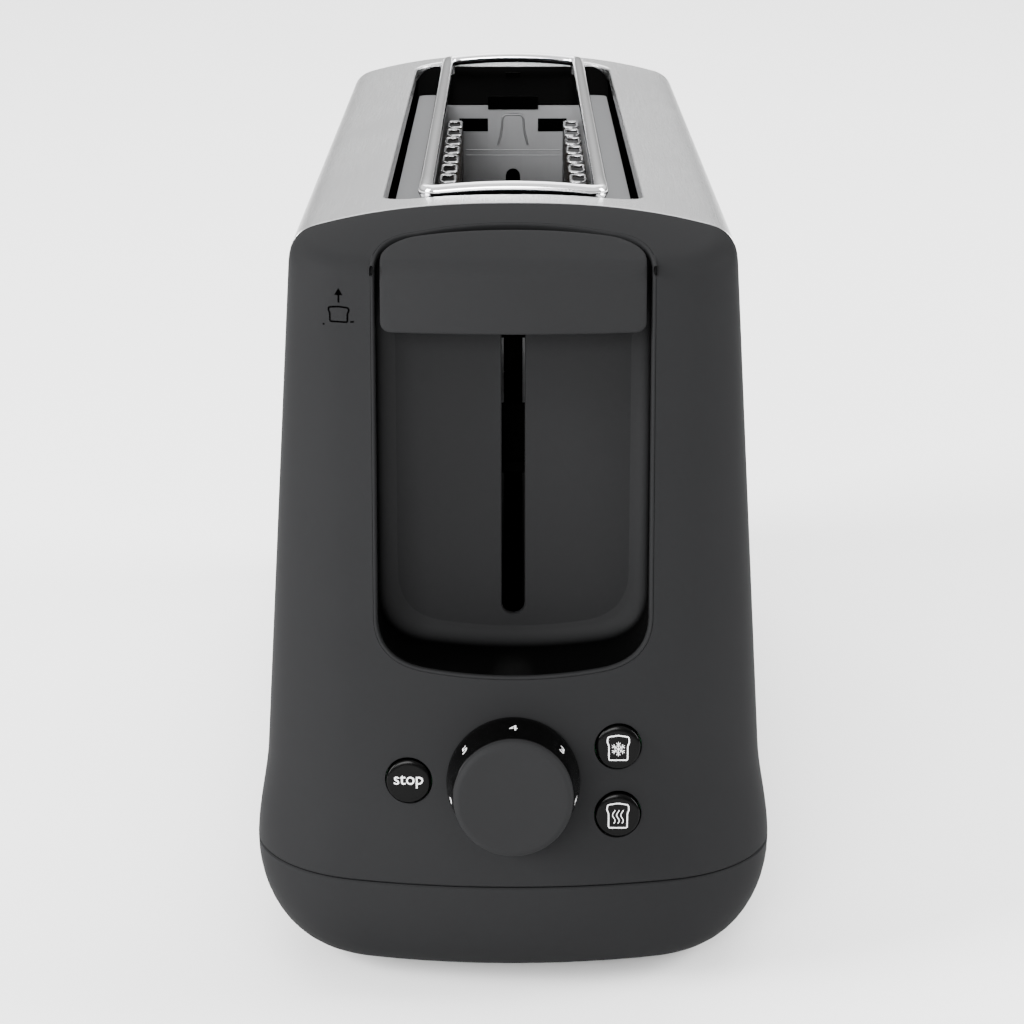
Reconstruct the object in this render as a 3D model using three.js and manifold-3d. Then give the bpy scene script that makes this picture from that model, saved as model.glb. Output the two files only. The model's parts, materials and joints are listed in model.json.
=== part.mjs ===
// Long-slot pop-up toaster, as an assembly of its separate pieces.
// Millimetres, +Z up. The control end faces -Y, the slot runs along Y, and the feet stand on Z = 0.
import * as THREE from "three";
import { mergeVertices } from "three/addons/utils/BufferGeometryUtils.js";
import Module from "manifold-3d";

const wasm = await Module();
wasm.setup();

// ---------------------------------------------------------------- driving sizes
// overall casing
const sleeveLength = 316;
const capDepth = 42.5;
const crownZ = 210;
const splitZ = 33.3;
const baseBottomZ = 2.6;
const shoulderZ = 200;
const shoulderHalfWidth = 59.05;
const sideTaper = 0.0628;
const flareTopZ = 60;
const bulgeZ = 36;
const bulge = 1.7;
const frontLean = 0.0924;
const crownDrop = 7.9;
const crownPower = 2.4;
const creaseZ = 197.6;
const bowRadius = 180;
const lowCornerRadius = 37;
const highCornerRadius = 19;
const sideFillet = 6.5;
const frontFillet = 3;
const bowlInset = 22;

// sheet and wall thicknesses, and the gaps between pieces
const sheet = 1.2;
const capWall = 2.5;
const baseWall = 2.5;
const plateSheet = 1;
const gap = 0.3;
const slidingGap = 0.5;

// bread slot
const slotWidth = 70;
const slotLength = 290;
const slotCornerRadius = 11;
const lipBottomZ = 203.5;

// toasting chamber
const chamberHalfLength = 121.5;
const reflectorHalfGap = 33;
const reflectorFlangeInner = 25.2;
const reflectorTopZ = 200;
const reflectorBottomZ = 56;
const endPlateHalfWidth = 33.6;
const endPlateTopZ = 196.2;
const heaterHalfGap = 28.4;
const heaterThickness = 0.8;
const guardHalfGap = 17.6;
const guardReach = 4.6;
const guardTopZ = 192;
const guardPivotZ = 60;
const guardPitch = 19.3;
const guardHoops = 12;
const guardWire = 1.5;
const footFlange = 14;
const chamberFloorZ = 16;
const guideWall = 2.2;

// lever, recess and carriage
const recessHalfWidth = 36.9;
const recessBottomZ = 89.3;
const recessBackFromFront = 33.4;
const recessCornerRadius = 12;
const recessBackBow = 300;
const panelSheet = 2;
const leverGap = 2.5;
const leverBottomZ = 180.3;
const leverSlotWidth = 6.2;
const leverSlotBottomZ = 98.4;
const stemThickness = 4;
const stemBottomZ = 179;
const stemHeight = 11;
const carriageTravel = 76;
const extraLift = 10;
const rackTrayZ = 152;
const rackHalfWidth = 8;
const guideRodRadius = 2;
const guideRodSpread = 16;
const linerWall = 1.5;
const leverWall = 3;
const leverCorner = 3;
const panelInset = 1.6;
const bracketInset = 8;
const bracketHalfWidth = 21;
const bushRadius = 5.2;
const bushHeight = 14;
const rodBottomZ = 34;
const holderHalfWidth = 24;
const springTurns = 6;
const springWireRadius = 0.5;
const liftCrossCount = 12;
const poleHalfWidth = 12;
const armatureThickness = 3;
const switchInnerX = 24;
const switchOuterX = 36;

// controls on the front face
const controlsZ = 62.2;
const knobRadius = 17.7;
const knobFrontRadius = 15.5;
const knobHeight = 18;
const knobClear = 0.9;
const knobCapHeight = 3.4;
const knobShaftRadius = 3;
const buttonRadius = 5.9;
const buttonX = 27.8;
const stopRise = -0.8;
const defrostRise = 8.5;
const reheatRise = -9.9;
const buttonTravel = 1.5;
const glandRise = 14;
const glandRadius = 6.4;
const glandBore = 4;
const boardDepth = 15;
const boardHalfWidth = 36;
const boardSheet = 1.6;
const potRadius = 8;
const potDepth = 7;
const switchHeight = 4;

// crumb tray, warming rack, feet
const trayHalfWidth = 37;
const trayBottomZ = 6.2;
const trayHeight = 8;
const traySheet = 0.8;
const trayBehindPlate = 45;
const railRodRadius = 2.1;
const railSpread = 23.6;
const railZ = 209.6;
const railEndGap = 4;
const railLegLength = 46;
const crossBarRadius = 1.3;
const footRadius = 8;
const footX = 38;
const footInset = 46;
const screwX = 43;
const screwRadius = 1.6;
const screwHeadRadius = 3.4;
const postRadius = 5;
const ventCount = 7;
const ventPitch = 9;

const halfSleeve = sleeveLength / 2;
const halfLength = halfSleeve + capDepth;
const baseFloorZ = baseBottomZ + baseWall;
const frontY = -halfLength;

// ---------------------------------------------------------------- finishes
const finish = (colour, roughness, metalness) => ({ colour, roughness, metalness });
const brushedSteel = finish(0xc9cacc, 0.34, 1);
const mattePlastic = finish(0x3a3b3d, 0.6, 0);
const glossBlack = finish(0x0b0c0b, 0.12, 0);
const chrome = finish(0xe6e7e8, 0.1, 1);
const galvanised = finish(0xa9abad, 0.42, 1);
const mica = finish(0xb59b72, 0.7, 0);
const rubber = finish(0x141414, 0.85, 0);
const copper = finish(0xb5652f, 0.4, 1);
const boardGreen = finish(0x1f5a35, 0.5, 0);
const heatPlastic = finish(0x121312, 0.3, 0);
const whitePlastic = finish(0xdcdad2, 0.45, 0);

const toaster = new THREE.Group();

function add(name, geometry, look, parent = toaster) {
  const material = new THREE.MeshStandardMaterial({
    color: look.colour,
    roughness: look.roughness,
    metalness: look.metalness,
  });
  geometry.computeVertexNormals();
  const mesh = new THREE.Mesh(geometry, material);
  mesh.name = name;
  parent.add(mesh);
  return mesh;
}

// ---------------------------------------------------------------- solids
function solidOf(geometry) {
  const bare = geometry.clone();
  bare.deleteAttribute("normal");
  bare.deleteAttribute("uv");
  const merged = mergeVertices(bare, 1e-4);
  return new wasm.Manifold(
    new wasm.Mesh({
      numProp: 3,
      vertProperties: merged.attributes.position.array,
      triVerts: new Uint32Array(merged.index.array),
    }),
  );
}

function geometryOf(solid) {
  const mesh = solid.getMesh();
  const geometry = new THREE.BufferGeometry();
  geometry.setAttribute("position", new THREE.BufferAttribute(new Float32Array(mesh.vertProperties), 3));
  geometry.setIndex(new THREE.BufferAttribute(new Uint32Array(mesh.triVerts), 1));
  return geometry;
}

const combine = (operation, [first, ...others]) =>
  geometryOf(others.reduce((sum, piece) => sum[operation](solidOf(piece)), solidOf(first)));
const cut = (...pieces) => combine("subtract", pieces);
const join = (...pieces) => combine("add", pieces);
const common = (...pieces) => combine("intersect", pieces);

const block = (x0, x1, y0, y1, z0, z1) =>
  new THREE.BoxGeometry(x1 - x0, y1 - y0, z1 - z0).translate((x0 + x1) / 2, (y0 + y1) / 2, (z0 + z1) / 2);

const extrude = (shape, depth, curveSegments) =>
  new THREE.ExtrudeGeometry(shape, { depth, bevelEnabled: false, curveSegments });

// a plan outline (x, y) raised from z0 to z1
const prismZ = (shape, z0, z1, curveSegments = 6) =>
  extrude(shape, z1 - z0, curveSegments).translate(0, 0, z0);

// a front outline (x, z) carried from y0 to y1
const prismY = (shape, y0, y1, curveSegments = 6) =>
  extrude(shape, y1 - y0, curveSegments)
    .rotateX(Math.PI / 2)
    .translate(0, y1, 0);

// a side outline (y, z) carried from x0 to x1
const sideways = new THREE.Matrix4().makeBasis(
  new THREE.Vector3(0, 1, 0),
  new THREE.Vector3(0, 0, 1),
  new THREE.Vector3(1, 0, 0),
);
const prismX = (shape, x0, x1, curveSegments = 6) =>
  extrude(shape, x1 - x0, curveSegments).applyMatrix4(sideways).translate(x0, 0, 0);

const rod = (radius, x, y, z0, z1, sides = 16) =>
  new THREE.CylinderGeometry(radius, radius, z1 - z0, sides)
    .rotateX(Math.PI / 2)
    .translate(x, y, (z0 + z1) / 2);

const rodAlongY = (radius, x, z, y0, y1, sides = 16) =>
  new THREE.CylinderGeometry(radius, radius, y1 - y0, sides).translate(x, (y0 + y1) / 2, z);

// a profile of [radius, height] pairs turned about the Z axis
const turned = (profile, sides = 24) =>
  new THREE.LatheGeometry(
    profile.map(([r, z]) => new THREE.Vector2(r, z)),
    sides,
  ).rotateX(Math.PI / 2);

function wire(points, radius, sides, steps, tension = 0.5) {
  const section = new THREE.Shape();
  for (let i = 0; i < sides; i++) {
    const angle = ((i + 0.5) / sides) * 2 * Math.PI;
    section[i ? "lineTo" : "moveTo"](radius * Math.cos(angle), radius * Math.sin(angle));
  }
  const path = new THREE.CatmullRomCurve3(points, false, "catmullrom", tension);
  return new THREE.ExtrudeGeometry(section, { extrudePath: path, steps, bevelEnabled: false });
}

function polygon(points) {
  return new THREE.Shape(points.map(([a, b]) => new THREE.Vector2(a, b)));
}

function roundedRectangle(halfWidth, halfHeight, radius) {
  const shape = new THREE.Shape();
  shape.moveTo(halfWidth, -halfHeight + radius);
  shape.lineTo(halfWidth, halfHeight - radius);
  shape.absarc(halfWidth - radius, halfHeight - radius, radius, 0, Math.PI / 2);
  shape.absarc(-halfWidth + radius, halfHeight - radius, radius, Math.PI / 2, Math.PI);
  shape.absarc(-halfWidth + radius, -halfHeight + radius, radius, Math.PI, 1.5 * Math.PI);
  shape.absarc(halfWidth - radius, -halfHeight + radius, radius, 1.5 * Math.PI, 2 * Math.PI);
  return shape;
}

// ---------------------------------------------------------------- the casing's form
const lerp = (a, b, t) => a + (b - a) * t;
const smoothStep = (t) => {
  const k = Math.min(Math.max(t, 0), 1);
  return k * k * (3 - 2 * k);
};

const flareAt = (z) => bulge * smoothStep((flareTopZ - z) / (flareTopZ - bulgeZ));
const halfWidthAt = (z) => shoulderHalfWidth + (shoulderZ - z) * sideTaper + flareAt(z);
const setBackAt = (z) => Math.max(0, (z - bulgeZ) * frontLean + bulge - flareAt(z));
const crownAt = (x) => crownZ - crownDrop * (Math.abs(x) / shoulderHalfWidth) ** crownPower;

// height of the cap's top: straight crease in front, crowned where it meets the sleeve
function topAt(x, y) {
  const nose = frontY + setBackAt(creaseZ) + (x * x) / (2 * bowRadius);
  const t = Math.min(Math.max((y - nose) / (-halfSleeve - nose), 0), 1);
  return creaseZ + (crownAt(x) - creaseZ) * t * (1.25 - 0.25 * t);
}

const arcSteps = 5;
const bowSteps = 6;

// half a plan outline at height z, moved inwards by inset: side, corner arc, bowed front, corner arc, side.
// Each point carries the angle of its outward normal, from straight ahead.
function planOutline(z, inset, backY) {
  const side = halfWidthAt(z);
  const noseY = frontY + setBackAt(z);
  const rise = (z - splitZ) / (creaseZ - splitZ);
  const wanted = lerp(lowCornerRadius, highCornerRadius, Math.max(rise, 0));
  const sag = (side - wanted) ** 2 / (2 * bowRadius);
  const corner = Math.min(wanted, capDepth - setBackAt(z) - sag);
  const cornerX = side - corner;
  const bowY = noseY + bowRadius;
  const cornerY = bowY - Math.sqrt((bowRadius - corner) ** 2 - cornerX ** 2);
  const joinAngle = Math.atan2(cornerX, bowY - cornerY);
  const r = corner - inset;
  const bow = bowRadius - inset;
  const points = [{ x: side - inset, y: backY, angle: Math.PI / 2 }];
  for (let i = 0; i <= arcSteps; i++) {
    const angle = lerp(Math.PI / 2, joinAngle, i / arcSteps);
    points.push({ x: cornerX + r * Math.sin(angle), y: cornerY - r * Math.cos(angle), angle });
  }
  for (let i = 1; i < bowSteps; i++) {
    const angle = lerp(joinAngle, -joinAngle, i / bowSteps);
    points.push({ x: bow * Math.sin(angle), y: bowY - bow * Math.cos(angle), angle });
  }
  for (let i = arcSteps + 1; i >= 0; i--) {
    const { x, y, angle } = points[i];
    points.push({ x: -x, y, angle: -angle });
  }
  return points;
}

// the rounded edge between a wall and the top, as points from the wall (first) to the top (last)
function edgeRound(low, sharp, high, steps = 3) {
  const curve = new THREE.QuadraticBezierCurve3(low, sharp, high);
  return curve.getPoints(steps);
}

const flareSteps = 4;
const wallLevels = (bottomZ) => [
  bottomZ,
  ...Array.from({ length: flareSteps + 1 }, (_, i) => lerp(bulgeZ, flareTopZ, i / flareSteps)),
];

// a closed surface from its triangles, leaving out any that have shrunk to an edge
function skin(triangles) {
  const positions = [];
  for (const [a, b, c] of triangles) {
    if (a.distanceTo(b) < 1e-4 || b.distanceTo(c) < 1e-4 || c.distanceTo(a) < 1e-4) continue;
    positions.push(...a.toArray(), ...b.toArray(), ...c.toArray());
  }
  return new THREE.BufferGeometry().setAttribute("position", new THREE.Float32BufferAttribute(positions, 3));
}

// the solid form of the front cap, moved inwards by inset, closed behind at backY and below at bottomZ
function capForm(inset, backY, bottomZ) {
  const count = planOutline(splitZ, inset, backY).length;
  const levels = wallLevels(bottomZ);
  const columns = [];
  for (let k = 0; k < count; k++) {
    const at = (z) => {
      const p = planOutline(z, inset, backY)[k];
      return new THREE.Vector3(p.x, p.y, z);
    };
    let edgeZ = creaseZ;
    for (let i = 0; i < 4; i++) {
      const p = at(edgeZ);
      edgeZ = topAt(p.x, p.y) - inset;
    }
    const sharp = at(edgeZ);
    const angle = planOutline(edgeZ, inset, backY)[k].angle;
    const reach = lerp(frontFillet, sideFillet, Math.abs(Math.sin(angle)));
    const inwards = new THREE.Vector3(-Math.sin(angle), Math.cos(angle), 0);
    const high = sharp.clone().addScaledVector(inwards, reach);
    high.z = topAt(high.x, high.y) - inset;
    const column = levels.map(at);
    column.push(...edgeRound(at(edgeZ - reach), sharp, high));
    for (const t of [1 / 3, 2 / 3, 1]) {
      const p = new THREE.Vector3(high.x, lerp(high.y, backY, t), 0);
      p.z = topAt(p.x, p.y) - inset;
      column.push(p);
    }
    columns.push(column);
  }
  const triangles = [];
  const rows = columns[0].length;
  for (let k = 0; k + 1 < count; k++) {
    for (let j = 0; j + 1 < rows; j++) {
      const [a, b, c, d] = [columns[k][j], columns[k + 1][j], columns[k + 1][j + 1], columns[k][j + 1]];
      triangles.push([a, c, b], [a, d, c]);
    }
  }
  const heel = new THREE.Vector3(0, backY, bottomZ);
  for (let k = 0; k + 1 < count; k++) {
    triangles.push([heel, columns[k][0], columns[k + 1][0]]);
    triangles.push([heel, columns[k + 1][rows - 1], columns[k][rows - 1]]);
  }
  for (let j = 0; j + 1 < rows; j++) {
    triangles.push([heel, columns[0][j + 1], columns[0][j]]);
    triangles.push([heel, columns[count - 1][j], columns[count - 1][j + 1]]);
  }
  return skin(triangles);
}

// the sleeve's cross-section, moved inwards by inset: up one side, over the crown and down the other
function sectionOutline(inset, bottomZ) {
  const at = (z) => new THREE.Vector3(halfWidthAt(z) - inset, z, 0);
  let edgeZ = creaseZ;
  for (let i = 0; i < 4; i++) edgeZ = crownAt(at(edgeZ).x) - inset;
  const sharp = at(edgeZ);
  const high = new THREE.Vector3(sharp.x - sideFillet, crownAt(sharp.x - sideFillet) - inset, 0);
  const half = wallLevels(bottomZ).map(at);
  half.push(...edgeRound(at(edgeZ - sideFillet), sharp, high));
  const crownSteps = 6;
  for (let i = 1; i < crownSteps; i++) {
    const x = high.x * (1 - i / crownSteps);
    half.push(new THREE.Vector3(x, crownAt(x) - inset, 0));
  }
  const points = half.map((p) => [p.x, p.y]);
  points.push([0, crownZ - inset]);
  return points.concat(half.reverse().map((p) => [-p.x, p.y]));
}

// the base's form below the split line: a bowl that curves in to a flat underside
function bowlForm(inset, topZ, bottomZ) {
  const slices = 5;
  const ringAt = (z, moved) => {
    const front = planOutline(splitZ, moved, 0).map((p) => new THREE.Vector3(p.x, p.y, z));
    const rear = front.slice(1, -1).reverse();
    return front.concat(rear.map((p) => new THREE.Vector3(p.x, -p.y, z)));
  };
  const rings = [];
  if (topZ > splitZ) rings.push(ringAt(topZ, inset));
  const rimZ = Math.min(topZ, splitZ);
  for (let i = 0; i <= slices; i++) {
    const angle = (i / slices) * (Math.PI / 2);
    rings.push(ringAt(lerp(rimZ, bottomZ, Math.sin(angle)), inset + bowlInset * (1 - Math.cos(angle))));
  }
  const triangles = [];
  const count = rings[0].length;
  const lid = new THREE.Vector3(0, 0, rings[0][0].z);
  const floor = new THREE.Vector3(0, 0, bottomZ);
  for (let k = 0; k < count; k++) {
    const next = (k + 1) % count;
    for (let j = 0; j + 1 < rings.length; j++) {
      const [a, b, c, d] = [rings[j][k], rings[j][next], rings[j + 1][next], rings[j + 1][k]];
      triangles.push([a, b, c], [a, c, d]);
    }
    triangles.push([lid, rings[0][next], rings[0][k]]);
    triangles.push([floor, rings[rings.length - 1][k], rings[rings.length - 1][next]]);
  }
  return skin(triangles);
}

// ---------------------------------------------------------------- steel sleeve
function steelSleeve() {
  const endY = halfSleeve - gap / 2;
  const outer = polygon(sectionOutline(0, splitZ));
  const shell = polygon(sectionOutline(0, splitZ).concat(sectionOutline(sheet, splitZ).reverse()));
  const slotOutline = (outset) =>
    roundedRectangle(slotWidth / 2 + outset, slotLength / 2 + outset, slotCornerRadius + outset);
  const lip = common(prismZ(slotOutline(sheet), lipBottomZ, crownZ + 5), prismY(outer, -endY, endY));
  return cut(join(prismY(shell, -endY, endY), lip), prismZ(slotOutline(0), lipBottomZ - 5, crownZ + 5));
}

add("steel_sleeve", steelSleeve(), brushedSteel);

// ---------------------------------------------------------------- end caps and lever recess
const capBackY = -halfSleeve - gap / 2;
const recessBackY = frontY + recessBackFromFront;
const panelY = recessBackY + panelInset;

// plan of the lever's shaft: straight sides, rounded back corners and a slightly bowed back
function shaftPlan(inset) {
  const half = recessHalfWidth - inset;
  const radius = recessCornerRadius - inset;
  const bowDrop = half ** 2 / (2 * recessBackBow);
  const back = recessBackY - inset;
  const shape = new THREE.Shape();
  shape.moveTo(-half, frontY - 30);
  shape.lineTo(half, frontY - 30);
  shape.lineTo(half, back - bowDrop - radius);
  shape.quadraticCurveTo(half, back - bowDrop, half - radius, back - bowDrop);
  shape.quadraticCurveTo(0, back + bowDrop, -half + radius, back - bowDrop);
  shape.quadraticCurveTo(-half, back - bowDrop, -half, back - bowDrop - radius);
  return shape;
}

// front outline of the recess: straight sides, rounded bottom corners and a shallow arc along the bottom
function recessOutline(inset) {
  const half = recessHalfWidth - inset;
  const low = recessBottomZ + inset;
  const shape = new THREE.Shape();
  shape.moveTo(half, crownZ + 10);
  shape.lineTo(-half, crownZ + 10);
  shape.lineTo(-half, low + 16);
  shape.quadraticCurveTo(-half, low + 3.2, -half * 0.6, low + 1.6);
  shape.quadraticCurveTo(0, low - 1.3, half * 0.6, low + 1.6);
  shape.quadraticCurveTo(half, low + 3.2, half, low + 16);
  return shape;
}

// a frame lying on the leaning face: X across, Y up the face, Z straight out of it
function faceFrame(x, rise) {
  const z = controlsZ + rise;
  const group = new THREE.Group();
  group.position.set(x, frontY + setBackAt(z) + (x * x) / (2 * bowRadius), z);
  group.rotation.x = Math.PI / 2 - Math.atan(frontLean);
  group.updateMatrix();
  return group;
}

const knobFrame = faceFrame(0, 0);
const buttons = [
  { name: "stop", frame: faceFrame(-buttonX, stopRise) },
  { name: "defrost", frame: faceFrame(buttonX, defrostRise) },
  { name: "reheat", frame: faceFrame(buttonX, reheatRise) },
];

function frontCap() {
  const shell = cut(capForm(0, capBackY, splitZ), capForm(capWall, capBackY + 5, splitZ - 5));
  const recess = common(
    prismZ(shaftPlan(0), recessBottomZ - 10, crownZ + 10),
    prismY(recessOutline(0), frontY - 20, recessBackY + 10),
  );
  const shaftHole = rod(knobShaftRadius + slidingGap, 0, 0, -12, 12).applyMatrix4(knobFrame.matrix);
  const buttonHole = rod(buttonRadius + slidingGap, 0, 0, -12, 12, 20);
  const buttonHoles = buttons.map((b) => buttonHole.clone().applyMatrix4(b.frame.matrix));
  const knobSeat = rod(knobRadius + 0.8, 0, 0, knobClear - gap, 12, 32).applyMatrix4(knobFrame.matrix);
  return cut(shell, recess, shaftHole, knobSeat, ...buttonHoles);
}

const glandFrame = faceFrame(0, glandRise);

function rearCap() {
  const shell = cut(capForm(0, capBackY, splitZ), capForm(capWall, capBackY + 5, splitZ - 5));
  const glandHole = rod(glandRadius + gap, 0, 0, -12, 12).applyMatrix4(glandFrame.matrix);
  return cut(shell, glandHole).rotateZ(Math.PI);
}

add("front_cap", frontCap(), mattePlastic);
add("rear_cap", rearCap(), mattePlastic);

// gloss liner round the recess, inside the cap and just clear of it
function recessLiner() {
  const outside = prismY(recessOutline(-linerWall), frontY - 20, panelY - gap);
  const inside = prismY(recessOutline(0), frontY - 30, panelY + 1);
  const under = capForm(capWall + gap, panelY + 10, splitZ);
  return common(cut(outside, inside), under);
}

// the recess's floor, with the slot that the lever's stem runs in
const panelTopZ = crownZ - 5.6;
const stemTopZ = stemBottomZ + stemHeight;
const leverSlotTopZ = stemTopZ + extraLift + slidingGap;

function leverPanel() {
  const margin = 4;
  const side = recessHalfWidth + margin;
  const plate = block(-side, side, panelY, panelY + panelSheet, recessBottomZ - 2 * margin, panelTopZ);
  const under = capForm(capWall + gap, panelY + 20, splitZ);
  const half = leverSlotWidth / 2;
  const slot = block(-half, half, panelY - 5, panelY + 5, leverSlotBottomZ + half, leverSlotTopZ);
  const slotEnd = rodAlongY(half, 0, leverSlotBottomZ + half, panelY - 5, panelY + 5);
  return cut(common(plate, under), slot, slotEnd);
}

add("recess_liner", recessLiner(), glossBlack);
add("lever_panel", leverPanel(), mattePlastic);

// ---------------------------------------------------------------- lever and carriage
function leverPaddle() {
  const halfTall = 30;
  const outline = roundedRectangle(recessHalfWidth - leverGap, halfTall, leverCorner);
  const front = prismY(outline, frontY - 20, recessBackY + 5).translate(0, 0, leverBottomZ + halfTall);
  const form = common(capForm(0, capBackY, splitZ), prismZ(shaftPlan(leverGap), 150, crownZ + 10), front);
  const inner = roundedRectangle(recessHalfWidth - leverGap - leverWall, halfTall - leverWall, leverCorner);
  const hollow = common(
    capForm(leverWall, capBackY, splitZ),
    prismY(inner, frontY - 20, recessBackY + 5).translate(0, 0, leverBottomZ + halfTall),
  );
  const half = stemThickness / 2;
  const web = block(-half - 2, half + 2, frontY + 15, recessBackY - leverGap, leverBottomZ + 1, stemTopZ);
  return join(cut(form, hollow), common(web, form));
}

const bracketY = panelY + panelSheet + bracketInset;
const rodY = bracketY + bushRadius + 1;
const armTopZ = rackTrayZ - gap;
const plateDrop = 12;

// the bent steel bracket behind the panel: stem, plate, two bushes on the rods and the arm into the chamber
function carriageBracket() {
  const half = stemThickness / 2;
  const stem = block(-half, half, recessBackY - leverGap + gap, bracketY + 1, stemBottomZ, stemTopZ);
  const side = bracketHalfWidth;
  const plate = block(-side, side, bracketY, bracketY + 1.6, armTopZ - plateDrop, stemTopZ);
  const armHalf = 1.4;
  const armEndY = -chamberHalfLength + 12;
  const arm = block(-armHalf, armHalf, bracketY + 1, armEndY, armTopZ - 6, armTopZ);
  const bushes = [-1, 1].map((s) => {
    return rod(bushRadius, s * guideRodSpread, rodY, armTopZ, armTopZ + bushHeight);
  });
  const boreRadius = guideRodRadius + 0.2;
  const bores = [-1, 1].map((s) => rod(boreRadius, s * guideRodSpread, rodY, armTopZ - 20, stemTopZ + 5));
  const window = block(-9, 9, bracketY - 1, bracketY + 3, armTopZ + 3, stemBottomZ - 6);
  return cut(join(stem, plate, arm, ...bushes), window, ...bores);
}

add("lever_paddle", leverPaddle(), mattePlastic);
add("carriage_bracket", carriageBracket(), galvanised);

const rodTopZ = panelTopZ - 2;
[-1, 1].forEach((s) => {
  const name = s < 0 ? "guide_rod_left" : "guide_rod_right";
  add(name, rod(guideRodRadius, s * guideRodSpread, rodY, rodBottomZ, rodTopZ), chrome);
});

// the rod holder on the base: a foot under each rod, a bridge for the magnet and a shelf for the switch
function rodHolder() {
  const depth = 8;
  const topZ = rodBottomZ - gap;
  const foot = block(-holderHalfWidth, holderHalfWidth, rodY - depth, rodY + depth, baseFloorZ + gap, topZ);
  const shelf = block(holderHalfWidth - 1, switchOuterX + 2, rodY - depth, rodY + depth, topZ - 4, topZ);
  const bay = block(-10, 10, rodY - depth - 2, rodY + depth + 2, baseBottomZ, rodBottomZ - 6);
  return cut(join(foot, shelf), bay);
}
add("rod_holder", rodHolder(), heatPlastic);

// return spring round the left guide rod, between the holder and the bush
function carriageSpring() {
  const perTurn = 9;
  const coil = guideRodRadius + 1.4;
  const low = rodBottomZ + 1.4;
  const high = armTopZ - 1.4;
  const points = [];
  for (let i = 0; i <= springTurns * perTurn; i++) {
    const angle = (i / perTurn) * 2 * Math.PI;
    const height = lerp(low, high, i / (springTurns * perTurn));
    points.push(new THREE.Vector3(coil * Math.cos(angle), coil * Math.sin(angle), height));
  }
  return wire(points, springWireRadius, 5, springTurns * perTurn).translate(-guideRodSpread, rodY, 0);
}
add("carriage_spring", carriageSpring(), galvanised);

// bread lift rack: a spine with cross wires for the slice to stand on, and a tab in the rear guide slot
function breadLiftRack() {
  const reach = chamberHalfLength - 4;
  const spine = block(-1.6, 1.6, -reach, chamberHalfLength + 6, rackTrayZ, rackTrayZ + 3);
  const rails = [-1, 1].map((s) => {
    const x = s * rackHalfWidth;
    return block(x - 0.8, x + 0.8, -reach, reach, rackTrayZ + 1, rackTrayZ + 3);
  });
  const crosses = Array.from({ length: liftCrossCount }, (_, i) => {
    const y = lerp(-reach + 1, reach - 1, i / (liftCrossCount - 1));
    return block(-rackHalfWidth, rackHalfWidth, y - 0.8, y + 0.8, rackTrayZ + 0.6, rackTrayZ + 2.6);
  });
  return join(spine, ...rails, ...crosses);
}
add("bread_lift_rack", breadLiftRack(), chrome);

// the armature under the bracket meets the magnet's poles when the lever is down
const armatureTopZ = armTopZ - plateDrop - gap;
const armatureBottomZ = armatureTopZ - armatureThickness;
const poleZ = armatureBottomZ - carriageTravel - gap;
const magnetY = bracketY + 0.8;
const poles = [-poleHalfWidth, poleHalfWidth];
add("armature_plate", block(...poles, magnetY - 4, magnetY + 2, armatureBottomZ, armatureTopZ), galvanised);

function magnetCore() {
  const yoke = block(...poles, magnetY - 5, magnetY + 3, rodBottomZ, poleZ);
  const windows = [-1, 1].map((s) => {
    const x = s * 6.5;
    return block(x - 2.5, x + 2.5, magnetY - 9, magnetY + 9, poleZ - 19, poleZ + 1);
  });
  return cut(yoke, ...windows);
}

function magnetCoil() {
  const body = block(-8.2, 8.2, magnetY - 8, magnetY + 6, poleZ - 18.4, poleZ - 4);
  const bore = block(-4 - gap, 4 + gap, magnetY - 5 - gap, magnetY + 3 + gap, poleZ - 30, poleZ + 5);
  return cut(body, bore);
}
add("magnet_core", magnetCore(), galvanised);
add("magnet_coil", magnetCoil(), copper);

// ---------------------------------------------------------------- toasting chamber
const guideSlotTopZ = rackTrayZ + extraLift + 11.5;
const guideSlotBottomZ = rackTrayZ - carriageTravel - 12;

// an end plate stands in the middle of the front half; the rear one is turned round
function endPlate(outward) {
  const inner = outward * chamberHalfLength;
  const outer = outward * (chamberHalfLength + plateSheet);
  const far = outward * (chamberHalfLength + footFlange);
  const span = (a, b) => [Math.min(a, b), Math.max(a, b)];
  const across = span(inner, outer);
  const wall = block(-endPlateHalfWidth, endPlateHalfWidth, ...across, chamberFloorZ, endPlateTopZ);
  const feet = [-1, 1].map((s) => {
    const [x0, x1] = span(s * (endPlateHalfWidth - 6), s * (screwX + 5));
    return block(x0, x1, ...span(inner, far), chamberFloorZ, chamberFloorZ + 1.4);
  });
  const ears = [-1, 1].map((s) => {
    const [x0, x1] = span(s * (endPlateHalfWidth - 1), s * (endPlateHalfWidth + 9));
    return block(x0, x1, ...across, chamberFloorZ, chamberFloorZ + 60);
  });
  const half = stemThickness / 2 + 0.6;
  const [y0, y1] = span(inner - outward * 2, outer + outward * 2);
  const slot = block(-half, half, y0, y1, guideSlotBottomZ, guideSlotTopZ - half);
  const slotEnd = rodAlongY(half, 0, guideSlotTopZ - half, y0, y1, 12);
  const windowTopZ = endPlateTopZ - 4.6;
  const windows = [-1, 1].map((s) => block(...span(s * 9, s * 19.4), y0, y1, windowTopZ - 4.8, windowTopZ));
  const screwHoles = [-1, 1].map((s) => {
    return rod(screwRadius + gap, s * screwX, outward * screwY, chamberFloorZ - 2, chamberFloorZ + 4, 12);
  });
  return cut(join(wall, ...feet, ...ears), slot, slotEnd, ...windows, ...screwHoles);
}

const screwY = chamberHalfLength + footFlange / 2 + 1;
add("front_end_plate", endPlate(-1), galvanised);
add("rear_end_plate", endPlate(1), galvanised);

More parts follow.
